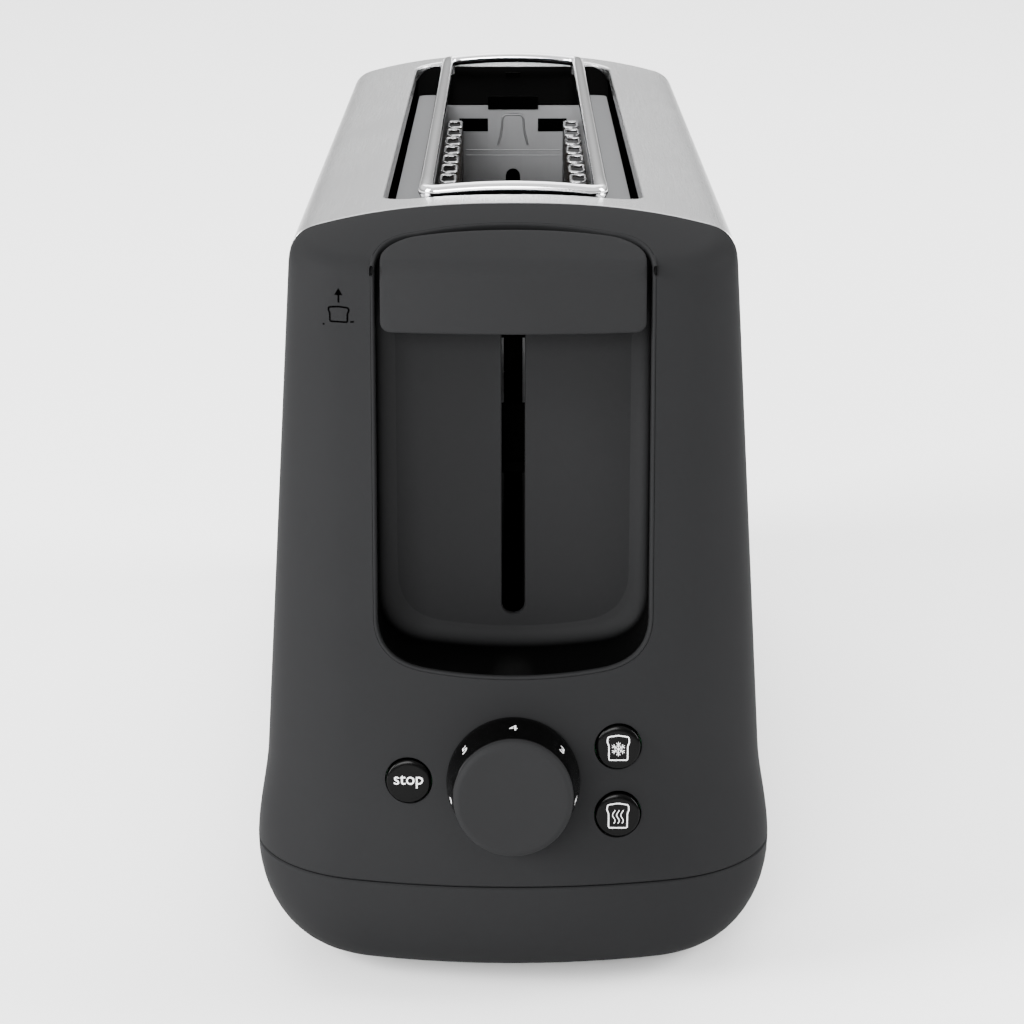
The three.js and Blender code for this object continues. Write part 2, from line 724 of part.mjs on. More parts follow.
// bent sheet behind each heater, with its top turned in over the heater
function reflector(side) {
  const halfSpan = chamberHalfLength - slidingGap;
  const x0 = reflectorHalfGap - plateSheet / 2;
  const x1 = reflectorHalfGap + plateSheet / 2;
  const wall = block(x0, x1, -halfSpan, halfSpan, reflectorBottomZ, reflectorTopZ);
  const corner = 4;
  const flange = new THREE.Shape();
  flange.moveTo(x1, -halfSpan + corner);
  flange.lineTo(x1, halfSpan - corner);
  flange.quadraticCurveTo(x1, halfSpan, x1 - corner, halfSpan);
  flange.lineTo(reflectorFlangeInner, halfSpan);
  flange.lineTo(reflectorFlangeInner, -halfSpan);
  flange.lineTo(x1 - corner, -halfSpan);
  flange.quadraticCurveTo(x1, -halfSpan, x1, -halfSpan + corner);
  const top = prismZ(flange, reflectorTopZ - plateSheet, reflectorTopZ, 4);
  const footTopZ = reflectorBottomZ + plateSheet;
  const foot = block(reflectorHalfGap - 5, x1, -halfSpan, halfSpan, reflectorBottomZ, footTopZ);
  const narrow = halfSpan - corner;
  const upper = block(0, 60, -narrow, narrow, reflectorTopZ - corner, reflectorTopZ + 1);
  const lower = block(0, 60, -halfSpan, halfSpan, 0, reflectorTopZ - corner);
  const body = join(join(common(wall, upper), common(wall, lower)), top, foot);
  return side < 0 ? body.rotateZ(Math.PI) : body;
}

// mica board with notched edges for its winding
function heater(side) {
  const halfSpan = chamberHalfLength - 9;
  const low = reflectorBottomZ + 6;
  const high = reflectorTopZ - 11;
  const board = block(heaterHalfGap, heaterHalfGap + heaterThickness, -halfSpan, halfSpan, low, high);
  const reach = chamberHalfLength - gap;
  const ears = block(heaterHalfGap, heaterHalfGap + heaterThickness, -reach, reach, low + 20, low + 34);
  const body = join(board, ears);
  return side < 0 ? body.rotateZ(Math.PI) : body;
}

// guard cage: hairpin wires whose tops bend outwards, tied by two long wires
function guardCage(side) {
  const wireHalf = guardWire / 2;
  const halfHoop = guardPitch * 0.36;
  const bars = [];
  const inner = [guardHalfGap, guardHalfGap + guardWire];
  const outer = guardHalfGap + guardWire + guardReach;
  for (let i = 0; i < guardHoops; i++) {
    const y = (i - (guardHoops - 1) / 2) * guardPitch;
    for (const s of [-1, 1]) {
      const leg = y + s * halfHoop;
      bars.push(block(...inner, leg - wireHalf, leg + wireHalf, guardPivotZ, guardTopZ));
    }
    const [y0, y1] = [y - halfHoop, y + halfHoop];
    const loop = polygon([
      [guardHalfGap, y0 - wireHalf],
      [outer, y0 - wireHalf],
      [outer, y1 + wireHalf],
      [guardHalfGap, y1 + wireHalf],
      [guardHalfGap, y1 - wireHalf],
      [outer - guardWire, y1 - wireHalf],
      [outer - guardWire, y0 + wireHalf],
      [guardHalfGap, y0 + wireHalf],
    ]);
    bars.push(prismZ(loop, guardTopZ - guardWire, guardTopZ));
  }
  const reach = chamberHalfLength - 3;
  for (const z of [guardPivotZ + wireHalf, guardTopZ - 14]) {
    bars.push(block(...inner, -reach, reach, z - wireHalf, z + wireHalf));
  }
  const body = join(...bars);
  return side < 0 ? body.rotateZ(Math.PI) : body;
}

for (const [label, side] of [["left", -1], ["right", 1]]) {
  add(`${label}_reflector`, reflector(side), galvanised);
  add(`${label}_heater`, heater(side), mica);
  add(`${label}_guard`, guardCage(side), chrome);
}

// moulded guides that slope into the chamber from each end of the slot
function slotGuide(outward) {
  const inset = slidingGap;
  const plan = roundedRectangle(slotWidth / 2 - inset, slotLength / 2 - inset, slotCornerRadius - inset);
  const innerY = chamberHalfLength + plateSheet + gap;
  const topY = slotLength / 2 - inset;
  const hemZ = endPlateTopZ + gap - 7;
  const brimZ = crownZ - 2.6;
  const profile = polygon([
    [innerY, endPlateTopZ + gap],
    [innerY, hemZ],
    [innerY + guideWall, hemZ],
    [innerY + guideWall, endPlateTopZ - guideWall],
    [topY - 1.5, brimZ - 3.8],
    [topY + 1, brimZ - 3.8],
    [topY + 1, brimZ],
    [topY - 1.5, brimZ],
  ]);
  const half = slotWidth / 2 + 1;
  const chute = common(prismZ(plan, 150, crownZ + 5), prismX(profile, -half, half));
  const tabHalf = 9;
  const noseY = chamberHalfLength - 1.4;
  const tabTopZ = endPlateTopZ + 3.4;
  const tab = block(-tabHalf, tabHalf, noseY, innerY + 0.5, endPlateTopZ + gap, tabTopZ);
  const nose = block(-tabHalf, tabHalf, noseY, chamberHalfLength - gap, endPlateTopZ - 1.2, tabTopZ);
  const holeRadius = railRodRadius + slidingGap;
  const legHoles = [-1, 1].map((s) => rod(holeRadius, s * railSpread, legY, 150, crownZ + 5, 12));
  const body = cut(join(chute, tab, nose), ...legHoles);
  return outward < 0 ? body.rotateZ(Math.PI) : body;
}

const legY = slotLength / 2 - railEndGap;
add("front_slot_guide", slotGuide(-1), heatPlastic);
add("rear_slot_guide", slotGuide(1), heatPlastic);

// ---------------------------------------------------------------- warming rack
function warmingRack() {
  const sideRod = (x) => {
    const legs = [-1, 1].map((s) => rod(railRodRadius, x, s * legY, railZ - railLegLength, railZ, 8));
    const bend = new THREE.SphereGeometry(railRodRadius, 8, 6);
    const bends = [-1, 1].map((s) => bend.clone().translate(x, s * legY, railZ));
    return join(rodAlongY(railRodRadius, x, railZ, -legY, legY, 8), ...legs, ...bends);
  };
  const crossBar = (y) => {
    const heights = [0.2, 0.9, 1.1, 0.9, 0.2];
    const across = (i) => lerp(-railSpread, railSpread, i / (heights.length - 1));
    const points = heights.map((h, i) => new THREE.Vector3(across(i), y, railZ + h));
    return wire(points, crossBarRadius, 8, 8);
  };
  return join(sideRod(-railSpread), sideRod(railSpread), crossBar(-legY), crossBar(legY));
}
add("warming_rack", warmingRack(), chrome);

// ---------------------------------------------------------------- base, feet and screws
const footY = halfLength - footInset;
const footPegRadius = 3;
const headPocketZ = baseBottomZ + 5;
const corners = [
  ["front_left", -1, -1],
  ["front_right", 1, -1],
  ["rear_left", -1, 1],
  ["rear_right", 1, 1],
];
const trayMouth = [trayHalfWidth + 3, trayBottomZ - 0.8, trayBottomZ + trayHeight + 1.4];

function baseHousing() {
  const shell = cut(bowlForm(0, splitZ - gap, baseBottomZ), bowlForm(baseWall, splitZ + 5, baseFloorZ));
  const underScrew = (radius, z0, z1, sides) =>
    corners.map(([, sx, sy]) => rod(radius, sx * screwX, sy * screwY, z0, z1, sides));
  const posts = underScrew(postRadius, baseFloorZ - 1, chamberFloorZ - gap, 14);
  const screwBores = underScrew(screwRadius + gap, 0, 30, 12);
  const headPockets = underScrew(screwHeadRadius + 0.8, 0, headPocketZ, 14);
  const footHole = footPegRadius + gap;
  const footHoles = corners.map(([, sx, sy]) => rod(footHole, sx * footX, sy * footY, 0, 12, 14));
  const [mouthHalf, mouthLow, mouthHigh] = trayMouth;
  const mouth = block(-mouthHalf, mouthHalf, halfLength - 40, halfLength + 5, mouthLow, mouthHigh);
  const vents = Array.from({ length: ventCount }, (_, i) => {
    const x = (i - (ventCount - 1) / 2) * ventPitch;
    return block(x - 1.6, x + 1.6, frontY + 34, frontY + 62, 0, 9);
  });
  return cut(join(shell, ...posts), ...footHoles, ...screwBores, ...headPockets, mouth, ...vents);
}
add("base_housing", baseHousing(), mattePlastic);

corners.forEach(([label, sx, sy]) => {
  const foot = turned(
    [
      [0, 0],
      [footRadius - 1, 0],
      [footRadius, 1],
      [footRadius, baseBottomZ - gap],
      [footPegRadius, baseBottomZ - gap],
      [footPegRadius, baseFloorZ + 0.4],
      [0, baseFloorZ + 0.4],
    ],
    16,
  );
  add(`foot_${label}`, foot, rubber).position.set(sx * footX, sy * footY, 0);
  const headHeight = 1.8;
  const screwLength = 15;
  const screw = turned(
    [
      [0, 0],
      [screwHeadRadius - 0.8, 0],
      [screwHeadRadius, 0.7],
      [screwHeadRadius, headHeight],
      [screwRadius, headHeight],
      [screwRadius, screwLength - 1.5],
      [screwRadius / 2, screwLength],
      [0, screwLength],
    ],
    10,
  );
  const headZ = headPocketZ - gap - headHeight;
  add(`base_screw_${label}`, screw, galvanised).position.set(sx * screwX, sy * screwY, headZ);
});

// ---------------------------------------------------------------- crumb tray
const trayBackY = chamberHalfLength + trayBehindPlate;

function crumbTray() {
  const topZ = trayBottomZ + trayHeight;
  const frontEndY = -chamberHalfLength + 3;
  const pan = (inset, bottomZ, z1) => {
    const side = trayHalfWidth - inset;
    return block(-side, side, frontEndY + inset, trayBackY - inset, bottomZ, z1);
  };
  const runners = [-1, 1].map((s) => {
    const x = s * (trayHalfWidth - 4);
    return block(x - 1.5, x + 1.5, frontEndY + 5, trayBackY - 8, trayBottomZ - 0.6, trayBottomZ + 0.3);
  });
  const hollow = pan(traySheet, trayBottomZ + traySheet, topZ + 5);
  return join(cut(pan(0, trayBottomZ, topZ), hollow), ...runners);
}

// the tray's front carries on the base's curve, with a finger groove under it
function crumbTrayHandle() {
  const [mouthHalf, mouthLow, mouthHigh] = trayMouth;
  const side = mouthHalf - slidingGap;
  const lowZ = mouthLow + slidingGap;
  const reach = block(-side, side, trayBackY + gap, halfLength, lowZ, mouthHigh - slidingGap);
  const hollowHalf = side - 3.5;
  const hollow = block(-hollowHalf, hollowHalf, trayBackY - 5, halfLength - 24, mouthLow - 1, mouthHigh - 3);
  const groove = rodAlongX(3.2, halfLength - 13.5, mouthLow + 0.2, 24);
  return cut(common(reach, bowlForm(0.2, splitZ - gap, baseBottomZ)), hollow, groove);
}

function rodAlongX(radius, y, z, half) {
  return new THREE.CylinderGeometry(radius, radius, 2 * half, 14).rotateZ(Math.PI / 2).translate(0, y, z);
}

add("crumb_tray", crumbTray(), galvanised);
add("crumb_tray_handle", crumbTrayHandle(), mattePlastic);

// ---------------------------------------------------------------- browning knob and buttons
toaster.add(knobFrame);
const knobSeatZ = knobHeight - knobCapHeight;

const skirt = turned([
  [knobShaftRadius + gap, knobClear],
  [knobRadius - 0.3, knobClear],
  [knobRadius, knobClear + 0.5],
  [knobFrontRadius + 0.15, knobSeatZ - 0.4],
  [knobFrontRadius - 0.2, knobSeatZ],
  [knobShaftRadius + gap, knobSeatZ],
  [knobShaftRadius + gap, knobClear],
], 28);
add("browning_knob_skirt", skirt, glossBlack, knobFrame);

const knobCap = turned([
  [0, knobSeatZ + gap],
  [knobFrontRadius - 0.3, knobSeatZ + gap],
  [knobFrontRadius, knobSeatZ + 1],
  [knobFrontRadius - 0.4, knobHeight - 0.9],
  [knobFrontRadius - 1.4, knobHeight],
  [0, knobHeight],
], 28);
add("browning_knob_cap", knobCap, mattePlastic, knobFrame);

const shaft = turned([
  [0, -boardDepth + 1],
  [knobShaftRadius, -boardDepth + 1],
  [knobShaftRadius, knobSeatZ],
  [0, knobSeatZ],
], 16);
add("knob_shaft", shaft, galvanised, knobFrame);

const pot = turned([
  [knobShaftRadius + gap, -boardDepth + gap],
  [potRadius, -boardDepth + gap],
  [potRadius, -boardDepth + potDepth],
  [5, -boardDepth + potDepth],
  [5, -boardDepth + potDepth + 2],
  [knobShaftRadius + gap, -boardDepth + potDepth + 2],
  [knobShaftRadius + gap, -boardDepth + gap],
], 20);
add("potentiometer", pot, galvanised, knobFrame);

const board = cut(
  block(-boardHalfWidth, boardHalfWidth, -17, 18, -boardDepth - boardSheet, -boardDepth),
  rod(knobShaftRadius + gap, 0, 0, -boardDepth - 5, -boardDepth + 5, 12),
);
add("control_board", board, boardGreen, knobFrame);

const ontoBoard = knobFrame.matrix.clone().invert();
buttons.forEach(({ name, frame }) => {
  toaster.add(frame);
  const place = frame.position.clone().applyMatrix4(ontoBoard);
  const stemEnd = -boardDepth + switchHeight + buttonTravel + 2 * gap - place.z;
  const button = turned([
    [0, stemEnd],
    [2, stemEnd],
    [2, -4],
    [buttonRadius, -4],
    [buttonRadius, 0.7],
    [buttonRadius - 0.5, 1.2],
    [0, 1.35],
  ], 20);
  add(`${name}_button`, button, glossBlack, frame);
  const tact = block(-3.5, 3.5, -3.5, 3.5, -boardDepth + gap, -boardDepth + switchHeight);
  add(`${name}_switch`, tact.translate(place.x, place.y, 0), heatPlastic, knobFrame);
});

// ---------------------------------------------------------------- rear electrics
const gland = turned([
  [glandBore, -8],
  [glandRadius, -8],
  [glandRadius, gap],
  [glandRadius + 2.4, gap],
  [glandRadius + 2.4, 2],
  [glandRadius + 1.2, 4],
  [glandBore, 4],
  [glandBore, -8],
], 20);
const rearFace = new THREE.Group();
rearFace.rotation.z = Math.PI;
rearFace.add(glandFrame);
toaster.add(rearFace);
add("cord_gland", gland, rubber, glandFrame);

// bolted to the back of the rear end plate, below its guide slot
function terminalBlock() {
  const frontFaceY = chamberHalfLength + plateSheet + gap;
  const middleY = frontFaceY + 7;
  const bottomZ = chamberFloorZ + 6;
  const body = block(-16, 16, frontFaceY, frontFaceY + 14, bottomZ, bottomZ + 14);
  const ways = [-1, 0, 1].map((i) => rod(2.2, i * 10, middleY, bottomZ + 6, bottomZ + 24, 12));
  return cut(body, ...ways);
}
add("terminal_block", terminalBlock(), whitePlastic);

const mainsSwitch = join(
  block(switchInnerX, switchOuterX, magnetY - 6, magnetY + 6, rodBottomZ, poleZ),
  block(switchInnerX + 2, switchInnerX + 4, magnetY - 2, magnetY + 2, poleZ - 1, poleZ + 6),
);
add("mains_switch", mainsSwitch, whitePlastic);

// the origin is under the middle of everything, at table height
const extent = new THREE.Box3().setFromObject(toaster);
toaster.position.set(0, -(extent.min.y + extent.max.y) / 2, 0);

export default toaster;
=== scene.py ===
import json
import math

import bmesh
import bpy
from mathutils import Matrix, Vector


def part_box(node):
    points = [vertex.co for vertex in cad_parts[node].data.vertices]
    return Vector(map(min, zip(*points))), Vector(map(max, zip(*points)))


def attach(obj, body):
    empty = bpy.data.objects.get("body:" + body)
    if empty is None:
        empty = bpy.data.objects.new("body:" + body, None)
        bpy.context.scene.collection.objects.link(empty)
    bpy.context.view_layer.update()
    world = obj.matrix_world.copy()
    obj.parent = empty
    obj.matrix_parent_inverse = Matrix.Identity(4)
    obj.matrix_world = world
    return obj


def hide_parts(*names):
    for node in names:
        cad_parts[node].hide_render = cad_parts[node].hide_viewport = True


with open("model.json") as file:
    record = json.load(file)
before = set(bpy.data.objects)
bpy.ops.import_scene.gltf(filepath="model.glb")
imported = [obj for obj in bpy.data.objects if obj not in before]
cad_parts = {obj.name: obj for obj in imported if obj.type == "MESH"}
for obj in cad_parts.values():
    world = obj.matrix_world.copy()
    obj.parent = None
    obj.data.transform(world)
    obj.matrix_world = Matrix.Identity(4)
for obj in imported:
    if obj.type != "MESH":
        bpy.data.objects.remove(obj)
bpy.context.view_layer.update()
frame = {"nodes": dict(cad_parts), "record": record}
millimetre = 0.001
print("stage: frame loaded with", len(frame["nodes"]), "nodes")

# the casing's form, in millimetres: the rules that the solids follow
casing = {
    "halfSleeve": 158, "capDepth": 42.5, "crown": 210, "split": 33.3, "baseBottom": 2.6,
    "shoulder": 200, "shoulderHalfWidth": 59.05, "taper": 0.0628, "flareTop": 60,
    "bulgeHeight": 36, "bulge": 1.7, "lean": 0.0924, "crownDrop": 7.9, "crownPower": 2.4,
    "crease": 197.6, "bow": 180, "lowCorner": 37, "highCorner": 19, "sideFillet": 6.5,
    "frontFillet": 3, "bowlInset": 22, "capWall": 2.5, "sheet": 1.2, "seam": 0.15,
    "softEdge": 0.35, "arcSteps": 18, "bowSteps": 36,
}
frontY = -casing["halfSleeve"] - casing["capDepth"]
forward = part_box("front_cap")[0].y / millimetre - frontY  # from the sleeve's middle to the frame's origin


class Wire:  # a socket in a node tree, so that sums on it read as sums
    def __init__(self, tree, socket=None):
        self.tree = tree
        self.socket = socket

    def node(self, kind, settings=None, sockets=None, output=0):
        made = self.tree.nodes.new(kind)
        for key, value in (settings or {}).items():
            setattr(made, key, value)
        for key, value in (sockets or {}).items():
            if isinstance(value, Wire):
                self.tree.links.new(value.socket, made.inputs[key])
            else:
                made.inputs[key].default_value = value
        return Wire(self.tree, made.outputs[output])

    def maths(self, operation, *values):
        return self.node("ShaderNodeMath", {"operation": operation}, dict(enumerate(values)))

    def __add__(self, other):
        return self.maths("ADD", self, other)

    def __radd__(self, other):
        return self.maths("ADD", other, self)

    def __sub__(self, other):
        return self.maths("SUBTRACT", self, other)

    def __rsub__(self, other):
        return self.maths("SUBTRACT", other, self)

    def __mul__(self, other):
        return self.maths("MULTIPLY", self, other)

    def __rmul__(self, other):
        return self.maths("MULTIPLY", other, self)

    def __truediv__(self, other):
        return self.maths("DIVIDE", self, other)

    def blend(self, low, high):  # a colour, from low where this is 0 to high where it is 1
        return self.node("ShaderNodeMix", {"data_type": "RGBA"}, {0: self, 6: low, 7: high}, 2)

    def between(self, low, high):  # 0 below low, 1 above high
        return self.node("ShaderNodeMapRange", {"interpolation_type": "SMOOTHSTEP"},
                         {"Value": self, "From Min": low, "From Max": high})


def grey(level):
    return (level, level, level, 1)


def newLook(name, constants):
    look = bpy.data.materials.new(name)
    look.use_nodes = True
    shader = look.node_tree.nodes["Principled BSDF"]
    for key, value in constants.items():
        shader.inputs[key].default_value = value
    return look, shader, Wire(look.node_tree)


def feed(shader, name, wire):
    wire.tree.links.new(wire.socket, shader.inputs[name])


def noiseOn(start, where, scale, detail=2, roughness=0.5):
    return start.node("ShaderNodeTexNoise", {}, {
        "Vector": where, "Scale": scale, "Detail": detail, "Roughness": roughness})


def bumpOf(start, height, strength, distance):
    return start.node("ShaderNodeBump", {}, {
        "Height": height, "Strength": strength, "Distance": distance})


def mouldedPlastic(name, colour, roughness, grain, specular=0.5):
    look, shader, start = newLook(name, {"Specular IOR Level": specular})
    where = start.node("ShaderNodeTexCoord", output="Object")
    cloud = noiseOn(start, where, 24, 3)
    fine = noiseOn(start, where, grain["scale"], 2, 0.6)
    low = tuple(c * 0.93 for c in colour[:3]) + (1,)
    high = tuple(c * 1.07 for c in colour[:3]) + (1,)
    feed(shader, "Base Color", cloud.blend(low, high))
    feed(shader, "Roughness", roughness - 0.03 + 0.06 * cloud + grain["gloss"] * (fine - 0.5))
    feed(shader, "Normal", bumpOf(start, fine, grain["strength"], grain["depth"]))
    return look


def metalSheet(name, colour, roughness, streak, chamberShade=None):
    look, shader, start = newLook(name, {"Metallic": 1.0, "Specular Tint": streak["edge"]})
    where = start.node("ShaderNodeTexCoord", output="Object")
    drawn = start.node("ShaderNodeMapping", {}, {"Vector": where, "Scale": streak["stretch"]})
    lines = noiseOn(start, drawn, streak["scale"], 3, 0.65)
    cloud = noiseOn(start, where, 14, 2)
    low = tuple(c * (1 - streak["contrast"]) for c in colour[:3]) + (1,)
    drawnColour = lines.blend(low, colour)
    if chamberShade:  # painted shade: the sheet's colour goes dark lower down in the chamber
        height = start.node("ShaderNodeSeparateXYZ", {}, {"Vector": where}, "Z")
        dark = tuple(c * chamberShade["tone"] for c in colour[:3]) + (1,)
        drawnColour = height.between(chamberShade["low"], chamberShade["high"]).blend(dark, drawnColour)
    feed(shader, "Base Color", drawnColour)
    feed(shader, "Roughness", roughness + streak["gloss"] * (lines - 0.5) + 0.05 * (cloud - 0.5))
    feed(shader, "Normal", bumpOf(start, lines, streak["strength"], streak["depth"]))
    return look


moulding = {"scale": 2600, "gloss": 0.12, "strength": 0.22, "depth": 0.00006}
polished = {"scale": 160, "gloss": 0.03, "strength": 0.02, "depth": 0.00005}
brushing = {"stretch": (1, 0.01, 1), "scale": 5200, "contrast": 0.06, "strength": 0.03, "depth": 0.00002,
            "gloss": 0.07, "edge": grey(1)}
rolling = {"stretch": (1, 1, 0.05), "scale": 900, "contrast": 0.1, "strength": 0.04, "depth": 0.00004,
           "gloss": 0.12, "edge": grey(0.45)}
drawing = {"stretch": (1, 1, 1), "scale": 300, "contrast": 0.04, "strength": 0.02, "depth": 0.00002,
           "gloss": 0.06, "edge": grey(1)}

charcoal = mouldedPlastic("matteCharcoal", (0.0115, 0.0116, 0.012, 1), 0.55, moulding, 0.008)
softGrey = mouldedPlastic("softCharcoal", (0.0125, 0.0126, 0.013, 1), 0.55, moulding, 0.008)
glossBlack = mouldedPlastic("glossBlack", grey(0.0006), 0.16, polished, 0.07)
heatBlack = mouldedPlastic("heatBlack", grey(0.0004), 0.3, polished, 0.002)
switchBlack = mouldedPlastic("switchBlack", grey(0.008), 0.45, moulding, 0.2)
rubberBlack = mouldedPlastic("rubberBlack", grey(0.006), 0.8, moulding, 0.15)
warmWhite = mouldedPlastic("warmWhite", (0.62, 0.6, 0.54, 1), 0.45, moulding)
printWhite = mouldedPlastic("printWhite", grey(0.75), 0.4, polished)
printBlack = mouldedPlastic("printBlack", grey(0.0003), 0.7, polished, 0.0)
blackSteel = mouldedPlastic("blackenedSteel", grey(0.0005), 0.5, moulding, 0.0)
brushedSteel = metalSheet("brushedSteel", (0.56, 0.562, 0.566, 1), 0.27, brushing)
# the last table is painted shade: the plated sheet's colour darkens from 185 mm down to 120 mm, down in the
# chamber
platedSheetPaintedShade = metalSheet("platedSheetPaintedShade", (0.2, 0.202, 0.206, 1), 0.42, rolling,
                         {"low": 0.12, "high": 0.185, "tone": 0.03})
zincPlate = metalSheet("zincPlate", (0.5, 0.5, 0.49, 1), 0.34, rolling)
chromeWire = metalSheet("chromeWire", (0.72, 0.72, 0.73, 1), 0.1, drawing)
guardWire = metalSheet("guardWire", (0.3, 0.3, 0.305, 1), 0.16, drawing)


def micaBoard():
    settings = {"colour": (0.07, 0.05, 0.032, 1), "dark": (0.03, 0.021, 0.013, 1), "flake": 420}
    look, shader, start = newLook("micaBoard", {"Specular IOR Level": 0.5})
    where = start.node("ShaderNodeTexCoord", output="Object")
    flakes = start.node("ShaderNodeTexVoronoi", {}, {"Vector": where, "Scale": settings["flake"]})
    cloud = noiseOn(start, where, 60, 4)
    feed(shader, "Base Color", (0.5 * flakes + 0.7 * cloud).blend(settings["dark"], settings["colour"]))
    feed(shader, "Roughness", 0.4 + 0.4 * cloud)
    feed(shader, "Normal", bumpOf(start, flakes, 0.2, 0.0001))
    return look


def copperWinding():
    settings = {"colour": (0.5, 0.16, 0.06, 1), "groove": (0.12, 0.03, 0.01, 1), "turns": 900}
    look, shader, start = newLook("copperWinding", {"Metallic": 1.0})
    where = start.node("ShaderNodeTexCoord", output="Object")
    turns = start.node("ShaderNodeTexWave", {"bands_direction": "Z"},
                       {"Vector": where, "Scale": settings["turns"]})
    feed(shader, "Base Color", turns.blend(settings["groove"], settings["colour"]))
    feed(shader, "Roughness", 0.45 - 0.2 * turns)
    feed(shader, "Normal", bumpOf(start, turns, 0.6, 0.0002))
    return look


def lacqueredBoard():
    settings = {"green": (0.012, 0.075, 0.03, 1), "track": (0.03, 0.16, 0.06, 1), "pitch": 260}
    look, shader, start = newLook("lacqueredBoard", {"Specular IOR Level": 0.6})
    where = start.node("ShaderNodeTexCoord", output="Object")
    cells = start.node("ShaderNodeTexVoronoi", {"distance": "MANHATTAN", "feature": "DISTANCE_TO_EDGE"},
                       {"Vector": where, "Scale": settings["pitch"]})
    tracks = cells.between(0.05, 0.12)
    feed(shader, "Base Color", tracks.blend(settings["track"], settings["green"]))
    feed(shader, "Roughness", 0.25 + 0.15 * tracks)
    feed(shader, "Normal", bumpOf(start, tracks, 0.2, 0.0001))
    return look


mica = micaBoard()
copper = copperWinding()
circuit = lacqueredBoard()
print("stage: finishes made")


# shapes are lists of points in millimetres, in the solids' own frame, with faces as tuples of indices
def toFrame(point):
    return Vector((point[0], point[1] + forward, point[2])) * millimetre


def loft(rings, closeRing=True, closeEnds=True):
    count = len(rings[0])
    points = [point for ring in rings for point in ring]
    faces = []
    for i in range(len(rings) - 1):
        for j in range(count if closeRing else count - 1):
            k = (j + 1) % count
            faces.append((i * count + j, i * count + k, (i + 1) * count + k, (i + 1) * count + j))
    if closeEnds:
        last = (len(rings) - 1) * count
        faces.append(tuple(reversed(range(count))))
        faces.append(tuple(last + j for j in range(count)))
    return points, faces


def moved(shape, matrix):
    points, faces = shape
    return [matrix @ Vector(point) for point in points], faces


def newPiece(name, *shapes):
    bm = bmesh.new()
    for points, faces in shapes:
        corners = [bm.verts.new(toFrame(point)) for point in points]
        for face in faces:
            bm.faces.new([corners[i] for i in face])
    bmesh.ops.remove_doubles(bm, verts=bm.verts, dist=2e-6)
    bmesh.ops.dissolve_degenerate(bm, edges=bm.edges, dist=1e-7)
    return pieceFrom(bm, name)


def pieceFrom(bm, name):
    bmesh.ops.recalc_face_normals(bm, faces=bm.faces)
    mesh = bpy.data.meshes.new(name)
    bm.to_mesh(mesh)
    bm.free()
    return linked(bpy.data.objects.new(name, mesh))


def linked(thing):
    bpy.context.scene.collection.objects.link(thing)
    return thing


def evaluatedMesh(holder):
    bpy.context.view_layer.update()
    graph = bpy.context.evaluated_depsgraph_get()
    return bpy.data.meshes.new_from_object(holder.evaluated_get(graph))


def carve(base, tools, operation="DIFFERENCE"):
    for tool in tools:
        modifier = base.modifiers.new("carve", "BOOLEAN")
        modifier.operation = operation
        modifier.solver = "MANIFOLD"
        modifier.object = tool
    base.data = evaluatedMesh(base)
    base.modifiers.clear()
    for tool in tools:
        bpy.data.objects.remove(tool)
    return base


def settle(piece, look, body, nodes=(), crease=32):
    mesh = piece.data
    mesh.materials.clear()
    mesh.materials.append(look)
    mesh.shade_smooth()
    mesh.set_sharp_from_angle(angle=math.radians(crease))
    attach(piece, body)
    if nodes:
        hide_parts(*nodes)
    return piece


def lerp(a, b, t):
    return a + (b - a) * t


def circle(radius, sides):
    angles = [2 * math.pi * s / sides for s in range(sides)]
    return [(radius * math.cos(a), radius * math.sin(a)) for a in angles]


def roundedRectangle(halfX, halfY, radius, steps=8):
    points = []
    for sx, sy, turn in ((1, 1, 0), (-1, 1, 90), (-1, -1, 180), (1, -1, 270)):
        for i in range(steps + 1):
            angle = math.radians(turn + 90 * i / steps)
            points.append((sx * (halfX - radius) + radius * math.cos(angle),
                           sy * (halfY - radius) + radius * math.sin(angle)))
    return points


def roundedPath(corners, radius, steps=6, closed=False):
    corners = [Vector(corner) for corner in corners]
    path = []
    for i, corner in enumerate(corners):
        if not closed and i in (0, len(corners) - 1):
            path.append(corner)
            continue
        before = corner + (corners[i - 1] - corner).normalized() * radius
        after = corner + (corners[(i + 1) % len(corners)] - corner).normalized() * radius
        for s in range(steps + 1):
            t = s / steps
            path.append(before * (1 - t) ** 2 + corner * 2 * t * (1 - t) + after * t ** 2)
    return path


def tube(path, radius, sides=14, closed=False, up=None):
    rings = []
    normal = Vector(up) if up else None
    for i, point in enumerate(path):
        before = path[i - 1] if closed or i else path[i]
        after = path[(i + 1) % len(path)] if closed or i + 1 < len(path) else path[i]
        along = (after - before).normalized()
        normal = normal or along.orthogonal()
        normal = (normal - along * normal.dot(along)).normalized()
        side = along.cross(normal)
        rings.append([point + normal * u + side * v for u, v in circle(radius, sides)])
    if closed:
        rings.append(rings[0])
    return loft(rings, closeEnds=not closed)


def lathe(profile, sides=64):
    return loft([[(x, y, h) for x, y in circle(r, sides)] for r, h in profile])


def prismY(outline, y0, y1):
    return loft([[(x, y, z) for x, z in outline] for y in (y0, y1)])


def prismZ(outline, z0, z1):
    return loft([[(x, y, z) for x, y in outline] for z in (z0, z1)])


def cylinder(radius, z0, z1, sides=48):
    return prismZ(circle(radius, sides), z0, z1)


def block(x0, x1, y0, y1, z0, z1):
    return prismZ([(x0, y0), (x1, y0), (x1, y1), (x0, y1)], z0, z1)


# the casing's rules
def flareAt(z):
    t = min(max((casing["flareTop"] - z) / (casing["flareTop"] - casing["bulgeHeight"]), 0), 1)
    return casing["bulge"] * t * t * (3 - 2 * t)


def halfWidthAt(z):
    return casing["shoulderHalfWidth"] + (casing["shoulder"] - z) * casing["taper"] + flareAt(z)


def setBackAt(z):
    return max(0, (z - casing["bulgeHeight"]) * casing["lean"] + casing["bulge"] - flareAt(z))


